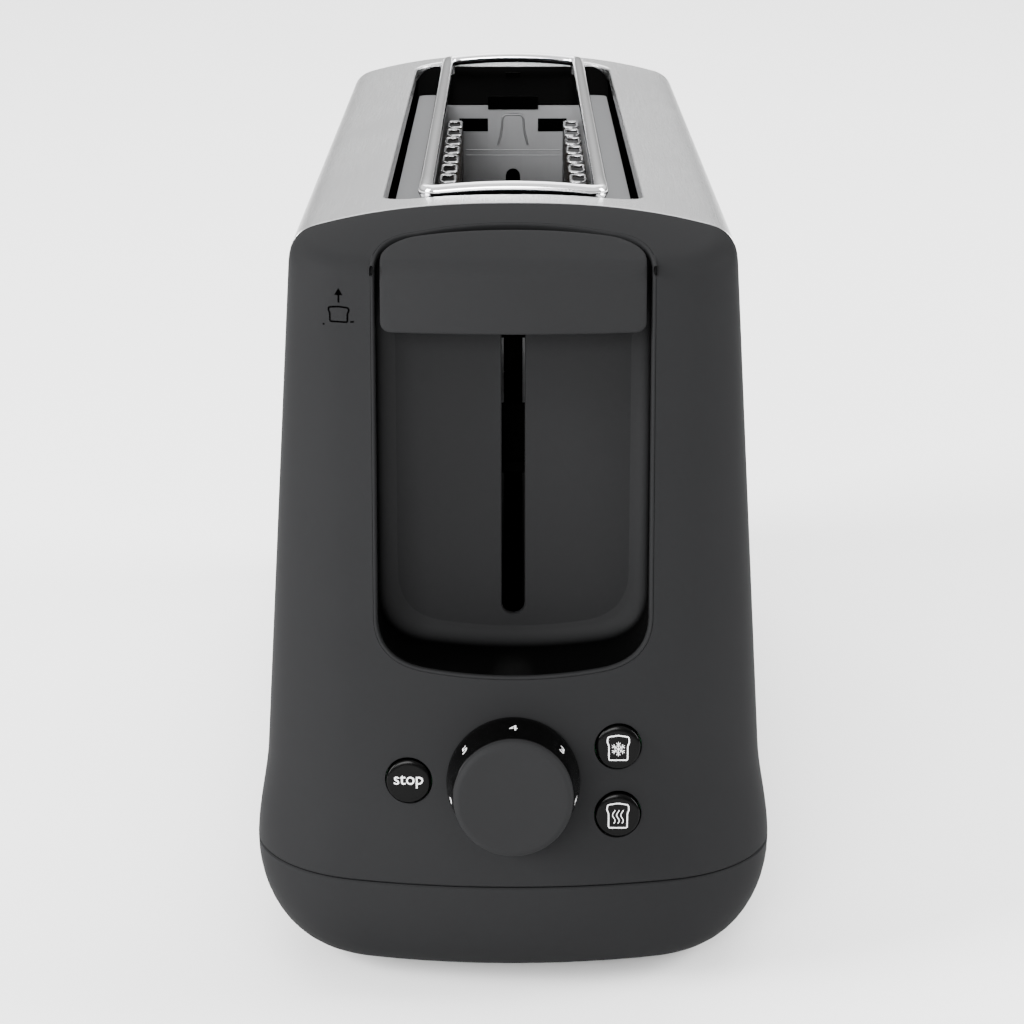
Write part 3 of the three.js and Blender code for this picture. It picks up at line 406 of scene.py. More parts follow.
def crownAt(x):
    share = abs(x) / casing["shoulderHalfWidth"]
    return casing["crown"] - casing["crownDrop"] * share ** casing["crownPower"]


def topAt(x, y):
    nose = frontY + setBackAt(casing["crease"]) + x * x / (2 * casing["bow"])
    t = min(max((y - nose) / (-casing["halfSleeve"] - nose), 0), 1)
    return casing["crease"] + (crownAt(x) - casing["crease"]) * t * (1.25 - 0.25 * t)


def cornerAt(z):
    side = halfWidthAt(z)
    rise = max((z - casing["split"]) / (casing["crease"] - casing["split"]), 0)
    wanted = lerp(casing["lowCorner"], casing["highCorner"], rise)
    sag = (side - wanted) ** 2 / (2 * casing["bow"])
    radius = min(wanted, casing["capDepth"] - setBackAt(z) - sag)
    x = side - radius
    bowY = frontY + setBackAt(z) + casing["bow"]
    y = bowY - math.sqrt((casing["bow"] - radius) ** 2 - x ** 2)
    return side, radius, x, y, bowY, math.atan2(x, bowY - y)


def wallPoint(k, z, inset, backY):
    arcSteps, bowSteps = casing["arcSteps"], casing["bowSteps"]
    total = 2 * (arcSteps + 2) + bowSteps - 1
    if k >= total - arcSteps - 2:
        x, y, angle = wallPoint(total - 1 - k, z, inset, backY)
        return -x, y, -angle
    side, radius, cornerX, cornerY, bowY, joinAngle = cornerAt(z)
    if k == 0:
        return side - inset, backY, math.pi / 2
    if k <= arcSteps + 1:
        angle = lerp(math.pi / 2, joinAngle, (k - 1) / arcSteps)
        r = radius - inset
        return cornerX + r * math.sin(angle), cornerY - r * math.cos(angle), angle
    angle = lerp(joinAngle, -joinAngle, (k - arcSteps - 1) / bowSteps)
    r = casing["bow"] - inset
    return r * math.sin(angle), bowY - r * math.cos(angle), angle


def wallY(x, z):  # where the leaning face is, straight ahead of (x, z)
    _, radius, cornerX, cornerY, bowY, joinAngle = cornerAt(z)
    if abs(x) <= casing["bow"] * math.sin(joinAngle):
        return bowY - math.sqrt(casing["bow"] ** 2 - x * x)
    return cornerY - math.sqrt(max(radius ** 2 - (abs(x) - cornerX) ** 2, 0))


def edgeRound(low, sharp, high, steps):
    return [low * (1 - t) ** 2 + sharp * 2 * t * (1 - t) + high * t ** 2
            for t in (i / steps for i in range(steps + 1))]


def skinColumn(k, inset, sideBackY, backY):
    soft = casing["softEdge"]

    def at(z, extra=0):
        x, y, _ = wallPoint(k, z, inset + extra, sideBackY)
        return Vector((x, y, z))

    edgeZ = casing["crease"]
    for _ in range(5):
        p = at(edgeZ)
        edgeZ = topAt(p.x, p.y) - inset
    sharp = at(edgeZ)
    angle = wallPoint(k, edgeZ, inset, sideBackY)[2]
    reach = lerp(casing["frontFillet"], casing["sideFillet"], abs(math.sin(angle)))
    high = Vector((sharp.x - reach * math.sin(angle), sharp.y + reach * math.cos(angle), 0))
    high.z = topAt(high.x, high.y) - inset
    column = [at(casing["split"], soft), at(casing["split"] + soft)]
    column += [at(lerp(casing["bulgeHeight"], casing["flareTop"], i / 10)) for i in range(11)]
    column += [at(lerp(casing["flareTop"], edgeZ - reach, i / 14)) for i in range(1, 14)]
    column += edgeRound(at(edgeZ - reach), sharp, high, 8)
    for i in range(1, 9):
        y = lerp(high.y, min(sideBackY, backY - soft), i / 8)
        column.append(Vector((high.x, y, topAt(high.x, y) - inset)))
    column.append(Vector((high.x, backY, topAt(high.x, backY) - inset - soft)))
    return column


def capShell():
    soft = casing["softEdge"]
    backY = -casing["halfSleeve"] - casing["seam"]
    total = 2 * (casing["arcSteps"] + 2) + casing["bowSteps"] - 1
    grids = []
    for inset in (0, casing["capWall"]):
        grid = [skinColumn(0, inset + soft, backY, backY)]
        grid += [skinColumn(k, inset, backY - soft, backY) for k in range(total)]
        grid.append(skinColumn(total - 1, inset + soft, backY, backY))
        grids.append(grid)
    points, faces = loft(grids[0], False, False)
    innerPoints, innerFaces = loft(grids[1], False, False)
    offset = len(points)
    rows = len(grids[0][0])
    columns = len(grids[0])
    faces += [tuple(reversed([offset + i for i in face])) for face in innerFaces]
    rim = [k * rows for k in range(columns)]
    rim += [(columns - 1) * rows + j for j in range(1, rows)]
    rim += [k * rows + rows - 1 for k in range(columns - 2, -1, -1)]
    rim += [j for j in range(rows - 2, 0, -1)]
    for i, a in enumerate(rim):
        b = rim[(i + 1) % len(rim)]
        faces.append((a, b, offset + b, offset + a))
    return points + innerPoints, faces


recess = {"halfWidth": 36.9, "bottom": 89.3, "depth": 33.4, "corner": 12, "backBow": 300,
          "lip": 0.55, "fillet": 5, "panelBehind": 1.6, "bendRise": 16, "cornerRise": 3.2,
          "flatRise": 1.6, "flatShare": 0.6, "sag": 1.3, "linerSheet": 1.2}
recessBackY = frontY + recess["depth"]
panelY = recessBackY + recess["panelBehind"]
controls = {"height": 62.2, "buttonX": 27.8, "rises": {"stop": -0.8, "defrost": 8.5, "reheat": -9.9},
            "buttonRadius": 5.9, "clearance": 0.45, "seatRadius": 18.5, "seatHeight": 0.6,
            "shaftHole": 3.5, "glandHole": 6.7, "glandRise": 14, "through": 9}


def bezier2(a, b, c, steps):
    return [tuple(a[i] * (1 - t) ** 2 + b[i] * 2 * t * (1 - t) + c[i] * t * t for i in (0, 1))
            for t in (s / steps for s in range(1, steps + 1))]


def recessCurve(inset, topZ):  # from the top right, down and round the bottom to the top left
    half = recess["halfWidth"] - inset
    low = recess["bottom"] + inset
    bend, corner, flat = (low + recess[key] for key in ("bendRise", "cornerRise", "flatRise"))
    flatX = half * recess["flatShare"]
    path = [(half, lerp(topZ, bend, i / 12)) for i in range(13)]
    path += bezier2(path[-1], (half, corner), (flatX, flat), 12)
    path += bezier2(path[-1], (0, low - recess["sag"]), (-flatX, flat), 16)
    path += bezier2(path[-1], (-half, corner), (-half, bend), 12)
    path += [(-half, lerp(bend, topZ, i / 12)) for i in range(1, 13)]
    return path


def shaftCurve(inset, frontEnd):  # plan of the lever's shaft, from the front right to the front left
    half = recess["halfWidth"] - inset
    radius = recess["corner"] - inset
    drop = half ** 2 / (2 * recess["backBow"])
    back = recessBackY - inset
    path = [(half, frontEnd), (half, back - drop - radius)]
    path += bezier2(path[-1], (half, back - drop), (half - radius, back - drop), 10)
    path += bezier2(path[-1], (0, back + drop), (-half + radius, back - drop), 16)
    path += bezier2(path[-1], (-half, back - drop), (-half, back - drop - radius), 10)
    path.append((-half, frontEnd))
    return path


def faceFrame(x, rise):  # X across, Y up the leaning face, Z straight out of it
    z = controls["height"] + rise
    y = frontY + setBackAt(z) + x * x / (2 * casing["bow"])
    return Matrix.Translation((x, y, z)) @ Matrix.Rotation(math.pi / 2 - math.atan(casing["lean"]), 4, "X")


knobFrame = faceFrame(0, 0)
buttonFrames = {name: faceFrame(controls["buttonX"] * (-1 if name == "stop" else 1), rise)
                for name, rise in controls["rises"].items()}


def drill(radius, place, sides=48):
    through = controls["through"]
    return newPiece("tool", moved(cylinder(radius, -through, through, sides), place))


def frontCap():
    cap = newPiece("front_cap_shell", capShell())
    shaft = newPiece("tool", prismZ(shaftCurve(0, frontY - 20), recess["bottom"] - 10, casing["crown"] + 9))
    front = newPiece("tool", prismY(recessCurve(0, casing["crown"] + 8), frontY - 10, recessBackY + 9))
    seat = cylinder(controls["seatRadius"], controls["seatHeight"], 11, 96)
    tools = [carve(shaft, [front], "INTERSECT"), newPiece("tool", moved(seat, knobFrame))]
    tools.append(drill(controls["shaftHole"], knobFrame))
    buttonHole = controls["buttonRadius"] + controls["clearance"]
    tools += [drill(buttonHole, place, 64) for place in buttonFrames.values()]
    return settle(carve(cap, tools), charcoal, "casing", ["front_cap"])


def rearCap():
    turn = Matrix.Rotation(math.pi, 4, "Z")
    cap = newPiece("rear_cap_shell", moved(capShell(), turn))
    hole = drill(controls["glandHole"], turn @ faceFrame(0, controls["glandRise"]), 64)
    return settle(carve(cap, [hole]), charcoal, "casing", ["rear_cap"])


frontCap()
rearCap()
print("stage: end caps")

slot = {"halfWidth": 35, "halfLength": 145, "corner": 11, "roll": 1.0, "lipBottom": 203.5}


def sectionCurve(inset):
    def at(z):
        return Vector((halfWidthAt(z) - inset, z))

    edgeZ = casing["crease"]
    for _ in range(5):
        edgeZ = crownAt(at(edgeZ).x) - inset
    sharp = at(edgeZ)
    high = Vector((sharp.x - casing["sideFillet"], crownAt(sharp.x - casing["sideFillet"]) - inset))
    half = [at(casing["split"])]
    half += [at(lerp(casing["bulgeHeight"], casing["flareTop"], i / 10)) for i in range(11)]
    half += [at(lerp(casing["flareTop"], edgeZ - casing["sideFillet"], i / 8)) for i in range(1, 8)]
    half += edgeRound(at(edgeZ - casing["sideFillet"]), sharp, high, 10)
    half += [Vector((high.x * (1 - i / 24), crownAt(high.x * (1 - i / 24)) - inset)) for i in range(1, 24)]
    middle = [Vector((0, casing["crown"] - inset))]
    return half + middle + [Vector((-p.x, p.y)) for p in reversed(half)]


def slotOutline(outset):
    halfX, halfY, corner = (slot[key] + outset for key in ("halfWidth", "halfLength", "corner"))
    return roundedRectangle(halfX, halfY, corner, 14)


def slotRim():  # the edge rolled down into the slot
    sheet, roll = casing["sheet"], slot["roll"]
    section = [(roll, -sheet), (roll, 0)]
    section += [(roll * (1 - math.sin(a)), -roll * (1 - math.cos(a)))
                for a in (math.radians(90 * i / 6) for i in range(1, 7))]
    rings = []
    for outset, drop in section:
        rings.append([(x, y, crownAt(x) + drop) for x, y in denser(slotOutline(outset))])
    for outset in (0, sheet):
        rings.append([(x, y, slot["lipBottom"]) for x, y in denser(slotOutline(outset))])
    rings.append(rings[0])
    return loft(rings, closeEnds=False)


def denser(outline):  # extra points along the short sides, where the crown curves
    path = []
    for i, (x, y) in enumerate(outline):
        nextX = outline[(i + 1) % len(outline)][0]
        path.append((x, y))
        if abs(nextX - x) > 20:
            path += [(lerp(x, nextX, s / 12), y) for s in range(1, 12)]
    return path


def steelSleeve():
    endY = casing["halfSleeve"] - casing["seam"]
    soft, drawnIn = 0.12, 0.1
    rings = []
    for y, extra in ((-endY, drawnIn), (-endY + soft, 0), (endY - soft, 0), (endY, drawnIn)):
        outer = sectionCurve(extra)
        inner = sectionCurve(casing["sheet"])
        rings.append([(p.x, y, p.y) for p in outer + inner[::-1]])
    sleeve = newPiece("steel_sleeve_shell", loft(rings))
    opening = prismZ(slotOutline(slot["roll"]), slot["lipBottom"] - 5, casing["crown"] + 5)
    carve(sleeve, [newPiece("tool", opening)])
    settle(sleeve, brushedSteel, "casing", ["steel_sleeve"])
    rim = newPiece("slot_rim", slotRim())
    settle(rim, brushedSteel, "casing")


steelSleeve()
print("stage: sleeve")


def linerFront(x, z):  # just behind the cap's skin, and further back where the crease rounds over
    return wallY(x, z) + 0.5 + 0.45 * max(0, z - casing["crease"] + 5.5) ** 1.2


def recessLiner():
    topZ = casing["crown"] - 2
    wall = casing["capWall"] + 0.3
    fillet = recess["fillet"]
    rows = [(recess["lip"], t, None) for t in (0.0, 0.12, 0.35, 0.6, 0.85, 1.0)]
    for i in range(1, 9):
        angle = math.radians(90 * i / 8)
        rows.append((recess["lip"] + fillet * (1 - math.cos(angle)), None,
                     panelY - fillet * (1 - math.sin(angle)) - 0.03))
    rows.append((recess["lip"] + fillet + 0.8, None, panelY + 0.2))

    def ring(row, outside):
        inset, t, depth = row
        points = []
        for x, z in recessCurve(inset - (recess["linerSheet"] if outside and depth is None else 0), topZ):
            if depth is None:
                y = lerp(linerFront(x, z), panelY - fillet, t)
            else:
                y = depth + (0.6 if outside else 0)
            points.append((x, y, min(z, topAt(x, y) - wall)))
        return points

    rings = [ring(row, False) for row in rows] + [ring(row, True) for row in reversed(rows)]
    rings.append(rings[0])
    points, faces = loft(rings, False, False)
    count = len(rings[0])
    near = [i * count for i in range(len(rings) - 1)]
    far = [i + count - 1 for i in near]
    return points, faces + [tuple(near), tuple(reversed(far))]


def rimPath():  # round the recess's edge, on the cap's skin: point, normal
    crease, fillet = casing["crease"], casing["frontFillet"]
    half = recess["halfWidth"]
    backEnd = shaftCurve(0, 0)[1][1]
    path = []

    def onTop(x, y):
        step = 0.05
        slopeX = (topAt(x + step, y) - topAt(x - step, y)) / (2 * step)
        slopeY = (topAt(x, y + step) - topAt(x, y - step)) / (2 * step)
        return Vector((x, y, topAt(x, y))), Vector((-slopeX, -slopeY, 1)).normalized()

    def onWall(x, z):
        step = 0.05
        slopeX = (wallY(x + step, z) - wallY(x - step, z)) / (2 * step)
        slopeZ = (wallY(x, z + step) - wallY(x, z - step)) / (2 * step)
        return Vector((x, wallY(x, z), z)), Vector((slopeX, -1, slopeZ)).normalized()

    def overCrease(side):
        x = side * half
        edgeZ = topAt(x, wallY(x, crease))
        reach = lerp(fillet, casing["sideFillet"], half / casing["bow"])
        low, lowNormal = onWall(x, edgeZ - reach)
        sharp = Vector((x, wallY(x, edgeZ), edgeZ))
        high, highNormal = onTop(x, sharp.y + reach)
        steps = 8
        rounded = edgeRound(low, sharp, high, steps)
        return [(p, lowNormal.lerp(highNormal, i / steps).normalized()) for i, p in enumerate(rounded)]

    right = overCrease(1)
    left = overCrease(-1)
    path += [onTop(half, lerp(backEnd, right[-1][0].y, i / 6)) for i in range(6)]
    path += right[::-1]
    path += [onWall(x, z) for x, z in recessCurve(0, right[0][0].z)[1:-1]]
    path += left
    path += [onTop(-half, lerp(left[-1][0].y, backEnd, i / 6)) for i in range(1, 7)]
    path += [onTop(x, y) for x, y in reversed(shaftCurve(0, 0)[2:-2])]
    return path


def recessLip():
    path = rimPath()
    section = [(-0.12, -0.9)]
    section += [(0.42 - 0.46 * math.cos(a), -0.4 + 0.46 * math.sin(a))
                for a in (math.radians(lerp(0, 175, i / 9)) for i in range(10))]
    section += [(0.9, -1.6), (0.35, -2.6), (-0.12, -2.6)]
    rings = []
    count = len(path)
    for i, (point, normal) in enumerate(path):
        along = path[(i + 1) % count][0] - path[i - 1][0]
        inward = along.cross(normal).normalized()
        centre = Vector((0, (frontY + recessBackY) / 2, 150))
        if inward.dot(centre - point) < 0:
            inward = -inward
        rings.append([point + inward * e + normal * n for e, n in section])
    rings.append(rings[0])
    return loft(rings, closeEnds=False)


def linerLook():  # glossier black on the walls, matte charcoal where the wall has turned into the floor; the black is partly the lining's own colour and partly painted shade in the recess, and its blend into charcoal across the fillet is painted shade
    settings = {"wall": (0.0006, 0.0006, 0.0006, 1), "floor": (0.0125, 0.0126, 0.013, 1)}
    look, shader, start = newLook("recessLiningPaintedShade", {"Specular IOR Level": 0.03})
    where = start.node("ShaderNodeTexCoord", output="Object")
    depth = start.node("ShaderNodeSeparateXYZ", {}, {"Vector": where}, "Y")
    floorY = (panelY + forward) * millimetre
    # painted shade: the colour goes from the walls' black to the floor's charcoal over the last 4.2 mm before
    # the floor
    turn = depth.between(floorY - 0.0042, floorY - 0.0001)
    fine = noiseOn(start, where, moulding["scale"], 2, 0.6)
    feed(shader, "Base Color", turn.blend(settings["wall"], settings["floor"]))
    feed(shader, "Roughness", 0.4 + 0.2 * turn + 0.06 * (fine - 0.5))
    feed(shader, "Normal", bumpOf(start, fine, 0.12, 0.00005))
    return look


liner = newPiece("recess_lining", recessLiner())
settle(liner, linerLook(), "casing", ["recess_liner"], 40)
lip = newPiece("recess_lip", recessLip())
settle(lip, charcoal, "casing", crease=60)

leverSlot = {"halfWidth": 3.1, "bottom": 98.4, "top": 200.5, "sheet": 2, "soft": 0.4, "shorter": 3}


def leverOutline(radius):  # round at the bottom, from the left across to the right and up
    low = leverSlot["bottom"] + leverSlot["halfWidth"]
    arc = [(radius * math.cos(a), low + radius * math.sin(a))
           for a in (math.radians(180 + 180 * i / 20) for i in range(21))]
    return arc + [(radius, leverSlot["top"]), (-radius, leverSlot["top"])]


def leverPanel():
    low, high = (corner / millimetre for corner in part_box("lever_panel"))
    plate = newPiece("lever_panel_plate", block(-high.x, high.x, panelY, panelY + leverSlot["sheet"],
                                                low.z, high.z - leverSlot["shorter"]))
    wide = leverOutline(leverSlot["halfWidth"] + leverSlot["soft"])
    flush = leverOutline(leverSlot["halfWidth"])
    tools = [newPiece("tool", prismY(flush, panelY - 1, panelY + 4)),
             newPiece("tool", loft([[(x, panelY - 0.2, z) for x, z in wide],
                                    [(x, panelY + leverSlot["soft"], z) for x, z in flush]]))]
    return settle(carve(plate, tools), softGrey, "casing", ["lever_panel"])


leverPanel()
print("stage: recess")

lever = {"gap": 2.5, "bottom": 180.3, "template": (15, 20), "backRadius": 9.5, "bottomRadius": 3,
         "crease": 3.2, "edge": 0.8, "grid": 2.2}


def leverPaddle():
    halfX = recess["halfWidth"] - lever["gap"]
    deep, tall = lever["template"]
    bm = bmesh.new()
    bmesh.ops.create_cube(bm, size=1)
    for v in bm.verts:
        v.co = Vector((v.co.x * 2 * halfX, (v.co.y + 0.5) * deep, (v.co.z + 0.5) * tall))

    def bevelWhere(test, offset, segments):
        edges = [e for e in bm.edges if test(*[v.co for v in e.verts])]
        bmesh.ops.bevel(bm, geom=edges, offset=offset, segments=segments, profile=0.5, affect="EDGES")

    far = halfX - 0.01
    bevelWhere(lambda a, b: min(abs(a.x), abs(b.x)) > far and a.y > deep - 0.01 and b.y > deep - 0.01
               and abs(a.z - b.z) > 5, lever["backRadius"], 10)
    bevelWhere(lambda a, b: min(abs(a.x), abs(b.x)) > far and a.z < 0.01 and b.z < 0.01
               and abs(a.y - b.y) > 1, lever["bottomRadius"], 6)
    bevelWhere(lambda a, b: a.y < 0.01 and b.y < 0.01 and a.z > tall - 0.01 and b.z > tall - 0.01
               and abs(a.x - b.x) > 5, lever["crease"], 6)
    sharp = [e for e in bm.edges if e.is_manifold and e.calc_face_angle() > math.radians(30)]
    bmesh.ops.bevel(bm, geom=sharp, offset=lever["edge"], segments=3, profile=0.5, affect="EDGES")
    for axis, low, high in ((0, -halfX + 3, halfX - 3), (1, 3.5, deep - 1.5), (2, 3.5, tall - 3.5)):
        steps = max(int((high - low) / lever["grid"]), 1)
        for i in range(steps + 1):
            spot = Vector((0, 0, 0))
            spot[axis] = lerp(low, high, i / steps)
            normal = Vector((0, 0, 0))
            normal[axis] = 1
            bmesh.ops.bisect_plane(bm, geom=bm.verts[:] + bm.edges[:] + bm.faces[:], dist=0.001,
                                   plane_co=spot, plane_no=normal)
    back = recessBackY - lever["gap"]
    for v in bm.verts:
        x, b, c = v.co.x, v.co.y / deep, v.co.z / tall
        frontZ = lerp(lever["bottom"], casing["crease"], c)
        y = lerp(wallY(x, frontZ), back - x * x / (2 * recess["backBow"]), b)
        z = lerp(lever["bottom"], topAt(x, y), c)
        v.co = toFrame((x, y, z))
    bmesh.ops.remove_doubles(bm, verts=bm.verts, dist=2e-6)
    return settle(pieceFrom(bm, "lever_grip"), softGrey, "carriage", ["lever_paddle"], 50)


leverPaddle()
print("stage: lever")

knob = {"clear": 0.9, "base": 17.7, "front": 15.7, "seat": 14.7, "height": 18, "round": 1.7,
        "bore": 3.3, "sides": 128, "digit": 4.7, "digitWeight": -0.02, "digitHeight": 8.2, "step": 50,
        "topDigit": 4, "digits": 6}


def roundedProfile(centreR, centreH, radius, start, end, steps):
    angles = [math.radians(lerp(start, end, i / steps)) for i in range(steps + 1)]
    return [(centreR + radius * math.cos(a), centreH + radius * math.sin(a)) for a in angles]


def knobPieces():
    skirt = [(knob["bore"], knob["clear"]), (knob["base"] - 0.5, knob["clear"])]
    skirt += roundedProfile(knob["base"] - 0.5, knob["clear"] + 0.5, 0.5, -90, 0, 4)
    skirt += [(lerp(knob["base"], knob["front"], i / 6), lerp(knob["clear"] + 0.6, knob["seat"], i / 6))
              for i in range(1, 7)]
    skirt += [(knob["front"] - 0.15, knob["seat"] + 0.1), (knob["bore"], knob["seat"] + 0.1),
              (knob["bore"], knob["clear"])]
    points, faces = lathe(skirt, knob["sides"])
    settle(newPiece("browning_knob_side", moved((points, faces[:-2]), knobFrame)), glossBlack,
           "browning_knob", ["browning_knob_skirt"])
    r = knob["round"]
    cap = [(0, knob["seat"] + 0.3), (knob["front"] - 0.4, knob["seat"] + 0.3),
           (knob["front"] - 0.05, knob["seat"] + 0.6)]
    cap += roundedProfile(knob["front"] - 0.1 - r, knob["height"] - r, r, 0, 90, 8)
    cap += [(knob["front"] * (1 - i / 8) - r * (1 - i / 8), knob["height"]) for i in range(1, 8)]
    cap.append((0, knob["height"]))
    settle(newPiece("browning_knob_face", moved(lathe(cap, knob["sides"]), knobFrame)), softGrey,
           "browning_knob", ["browning_knob_cap"])


def textShape(words, size, weight=0.0):  # a word as flat faces, in millimetres about its own middle
    curve = bpy.data.curves.new("lettering", "FONT")
    curve.body = words
    curve.size = size
    curve.offset = weight
    curve.resolution_u = 5
    holder = linked(bpy.data.objects.new("lettering", curve))
    mesh = evaluatedMesh(holder)
    points = [v.co.copy() for v in mesh.vertices]
    faces = [tuple(p.vertices) for p in mesh.polygons]
    bpy.data.objects.remove(holder)
    lowX, highX = min(p.x for p in points), max(p.x for p in points)
    lowY, highY = min(p.y for p in points), max(p.y for p in points)
    middle = Vector(((lowX + highX) / 2, (lowY + highY) / 2, 0))
    return [p - middle for p in points], faces


def printed(shape, onto, thickness=0.05):  # a flat shape given a little thickness, then laid on a surface
    points, faces = shape
    bm = bmesh.new()
    corners = [bm.verts.new(p) for p in points]
    for face in faces:
        bm.faces.new([corners[i] for i in face])
    bmesh.ops.remove_doubles(bm, verts=bm.verts, dist=1e-4)
    bmesh.ops.triangulate(bm, faces=bm.faces)
    grown = bmesh.ops.extrude_face_region(bm, geom=bm.faces[:])
    for element in grown["geom"]:
        if isinstance(element, bmesh.types.BMVert):
            element.co.z += thickness
    bm.verts.index_update()
    result = [onto(v.co.copy()) for v in bm.verts], [tuple(v.index for v in f.verts) for f in bm.faces]
    bm.free()
    return result


def knobDigits():
    shapes = []
    for digit in range(1, knob["digits"] + 1):
        middle = math.radians(90 + knob["step"] * (digit - knob["topDigit"]))

        def onto(p, middle=middle):
            height = knob["digitHeight"] - p.y
            share = (height - knob["clear"]) / (knob["seat"] - knob["clear"])
            radius = lerp(knob["base"], knob["front"], share)
            angle = middle - p.x / radius
            radius += p.z + 0.02
            return knobFrame @ Vector((radius * math.cos(angle), radius * math.sin(angle), height))

        shapes.append(printed(textShape(str(digit), knob["digit"], knob["digitWeight"]), onto))
    settle(newPiece("browning_numbers", *shapes), printWhite, "browning_knob")


def ribbon(path, width, closed=False):  # a flat line of even width along a path of (x, y)
    path = [Vector((x, y)) for x, y in path]
    count = len(path)
    sides = []
    for i, p in enumerate(path):
        before = path[i - 1] if closed or i else p
        after = path[(i + 1) % count] if closed or i + 1 < count else p
        along = (after - before).normalized()
        across = Vector((-along.y, along.x)) * width / 2
        sides.append((p + across, p - across))
    points = [Vector((q.x, q.y, 0)) for pair in sides for q in pair]
    faces = []
    for i in range(count if closed else count - 1):
        j = (i + 1) % count
        faces.append((2 * i, 2 * i + 1, 2 * j + 1, 2 * j))
    return points, faces


def sliceOutline(halfWidth, low, high):  # a slice of bread with a domed top
    tall = high - low
    right = [(0.84, 0), (0.84, 0.6), (1, 0.76), (0.93, 0.97)]
    corners = [(x * halfWidth, low + share * tall) for x, share in right]
    corners += [(0, high + 0.04 * tall)] + [(-x, z) for x, z in reversed(corners)]
    return [(p.x, p.y) for p in roundedPath([(x, y, 0) for x, y in corners], 0.16 * halfWidth, 5, True)]


button = {"radius": controls["buttonRadius"], "depth": -4, "face": 1.35, "round": 0.55, "dome": 0.2,
          "ink": 0.03, "wordSize": 4.55, "wordWeight": 0.01}
icon = {"halfWidth": 2.95, "low": -3.4, "high": 3.1, "line": 0.33, "fine": 0.15, "wave": 0.21,
        "apart": 1.1, "sway": 0.34, "waveLow": -2.2, "waveHigh": 1.5}


def buttonShape():
    r = button["round"]
    profile = [(0, button["depth"]), (button["radius"], button["depth"])]
    profile += roundedProfile(button["radius"] - r, button["face"] - 0.25 - r, r, 0, 80, 6)
    flats = [(button["radius"] - r) * (1 - i / 10) for i in range(1, 11)]
    profile += [(flat, faceHeight(flat)) for flat in flats]
    return lathe(profile, 72)


def faceHeight(radius):  # the button's face is very slightly domed
    return button["face"] - button["dome"] * (radius / button["radius"]) ** 2


def snowflake():
    lines = []
    for arm in range(6):
        turn = Matrix.Rotation(math.radians(30 + 60 * arm), 2)
        spokes = [[(0, 0), (1.95, 0)]]
        spokes += [[(1.15, 0), (1.65, s * 0.55)] for s in (-1, 1)]
        spokes += [[(0.65, 0), (1.0, s * 0.38)] for s in (-1, 1)]
        for spoke in spokes:
            lines.append(ribbon([tuple(turn @ Vector(p)) for p in spoke], icon["fine"]))
    return [([p + Vector((0, -0.35, 0)) for p in points], faces) for points, faces in lines]


def heatWaves():
    lines = []
    for column in (-1, 0, 1):
        path = [(column * icon["apart"] + icon["sway"] * math.sin(2 * math.pi * i / 20),
                 lerp(icon["waveLow"], icon["waveHigh"], i / 24)) for i in range(25)]
        lines.append(ribbon(path, icon["wave"]))
    return lines


def buttonPieces():
    for name, place in buttonFrames.items():
        def onto(p, place=place):
            return place @ Vector((p.x, p.y, faceHeight(p.to_2d().length) + button["ink"] + p.z))

        settle(newPiece(name + "_button_body", moved(buttonShape(), place)), glossBlack,
               name + "_key", [name + "_button"])
        if name == "stop":
            marks = [textShape("stop", button["wordSize"], button["wordWeight"])]
        else:
            marks = [ribbon(sliceOutline(icon["halfWidth"], icon["low"], icon["high"]), icon["line"], True)]
            marks += snowflake() if name == "defrost" else heatWaves()
        settle(newPiece(name + "_button_mark", *[printed(mark, onto, 0.03) for mark in marks]), printWhite,
               name + "_key")


knobPieces()
knobDigits()
buttonPieces()

liftMark = {"x": -45.2, "line": 0.42, "arrowTop": 190.8, "arrowLow": 187.6, "slice": (182.6, 186.4),
            "halfWidth": 2.75}


def liftIcon():  # an arrow rising from a slice, on the cap beside the recess
    x = liftMark["x"]
    low, high = liftMark["slice"]
    top = liftMark["arrowTop"]
    shapes = [ribbon([(x, liftMark["arrowLow"]), (x, top - 1)], liftMark["line"])]
    head = [Vector((x + side, top + rise, 0)) for side, rise in ((-1.05, -1.3), (1.05, -1.3), (0, 0.5))]
    shapes.append((head, [(0, 1, 2)]))
    outline = [(x + px, pz) for px, pz in sliceOutline(liftMark["halfWidth"], low, high)]
    shapes.append(ribbon(outline, liftMark["line"], True))
    shapes.append(ribbon([(x - 4.2, low - 0.9), (x + 4.0, low + 0.2)], liftMark["line"]))

    def onto(p):
        return Vector((p.x, wallY(p.x, p.y) - 0.04 - p.z, p.y))

    settle(newPiece("lift_mark", *[printed(shape, onto, 0.05) for shape in shapes]), printBlack,
           "casing")


liftIcon()
print("stage: knob, buttons and marks")

rack = {"rod": 2.1, "bar": 1.75, "spread": 23.6, "height": 209.6, "legY": 141, "leg": 46, "corner": 3.6,
        "arch": 1.5, "sides": 24}


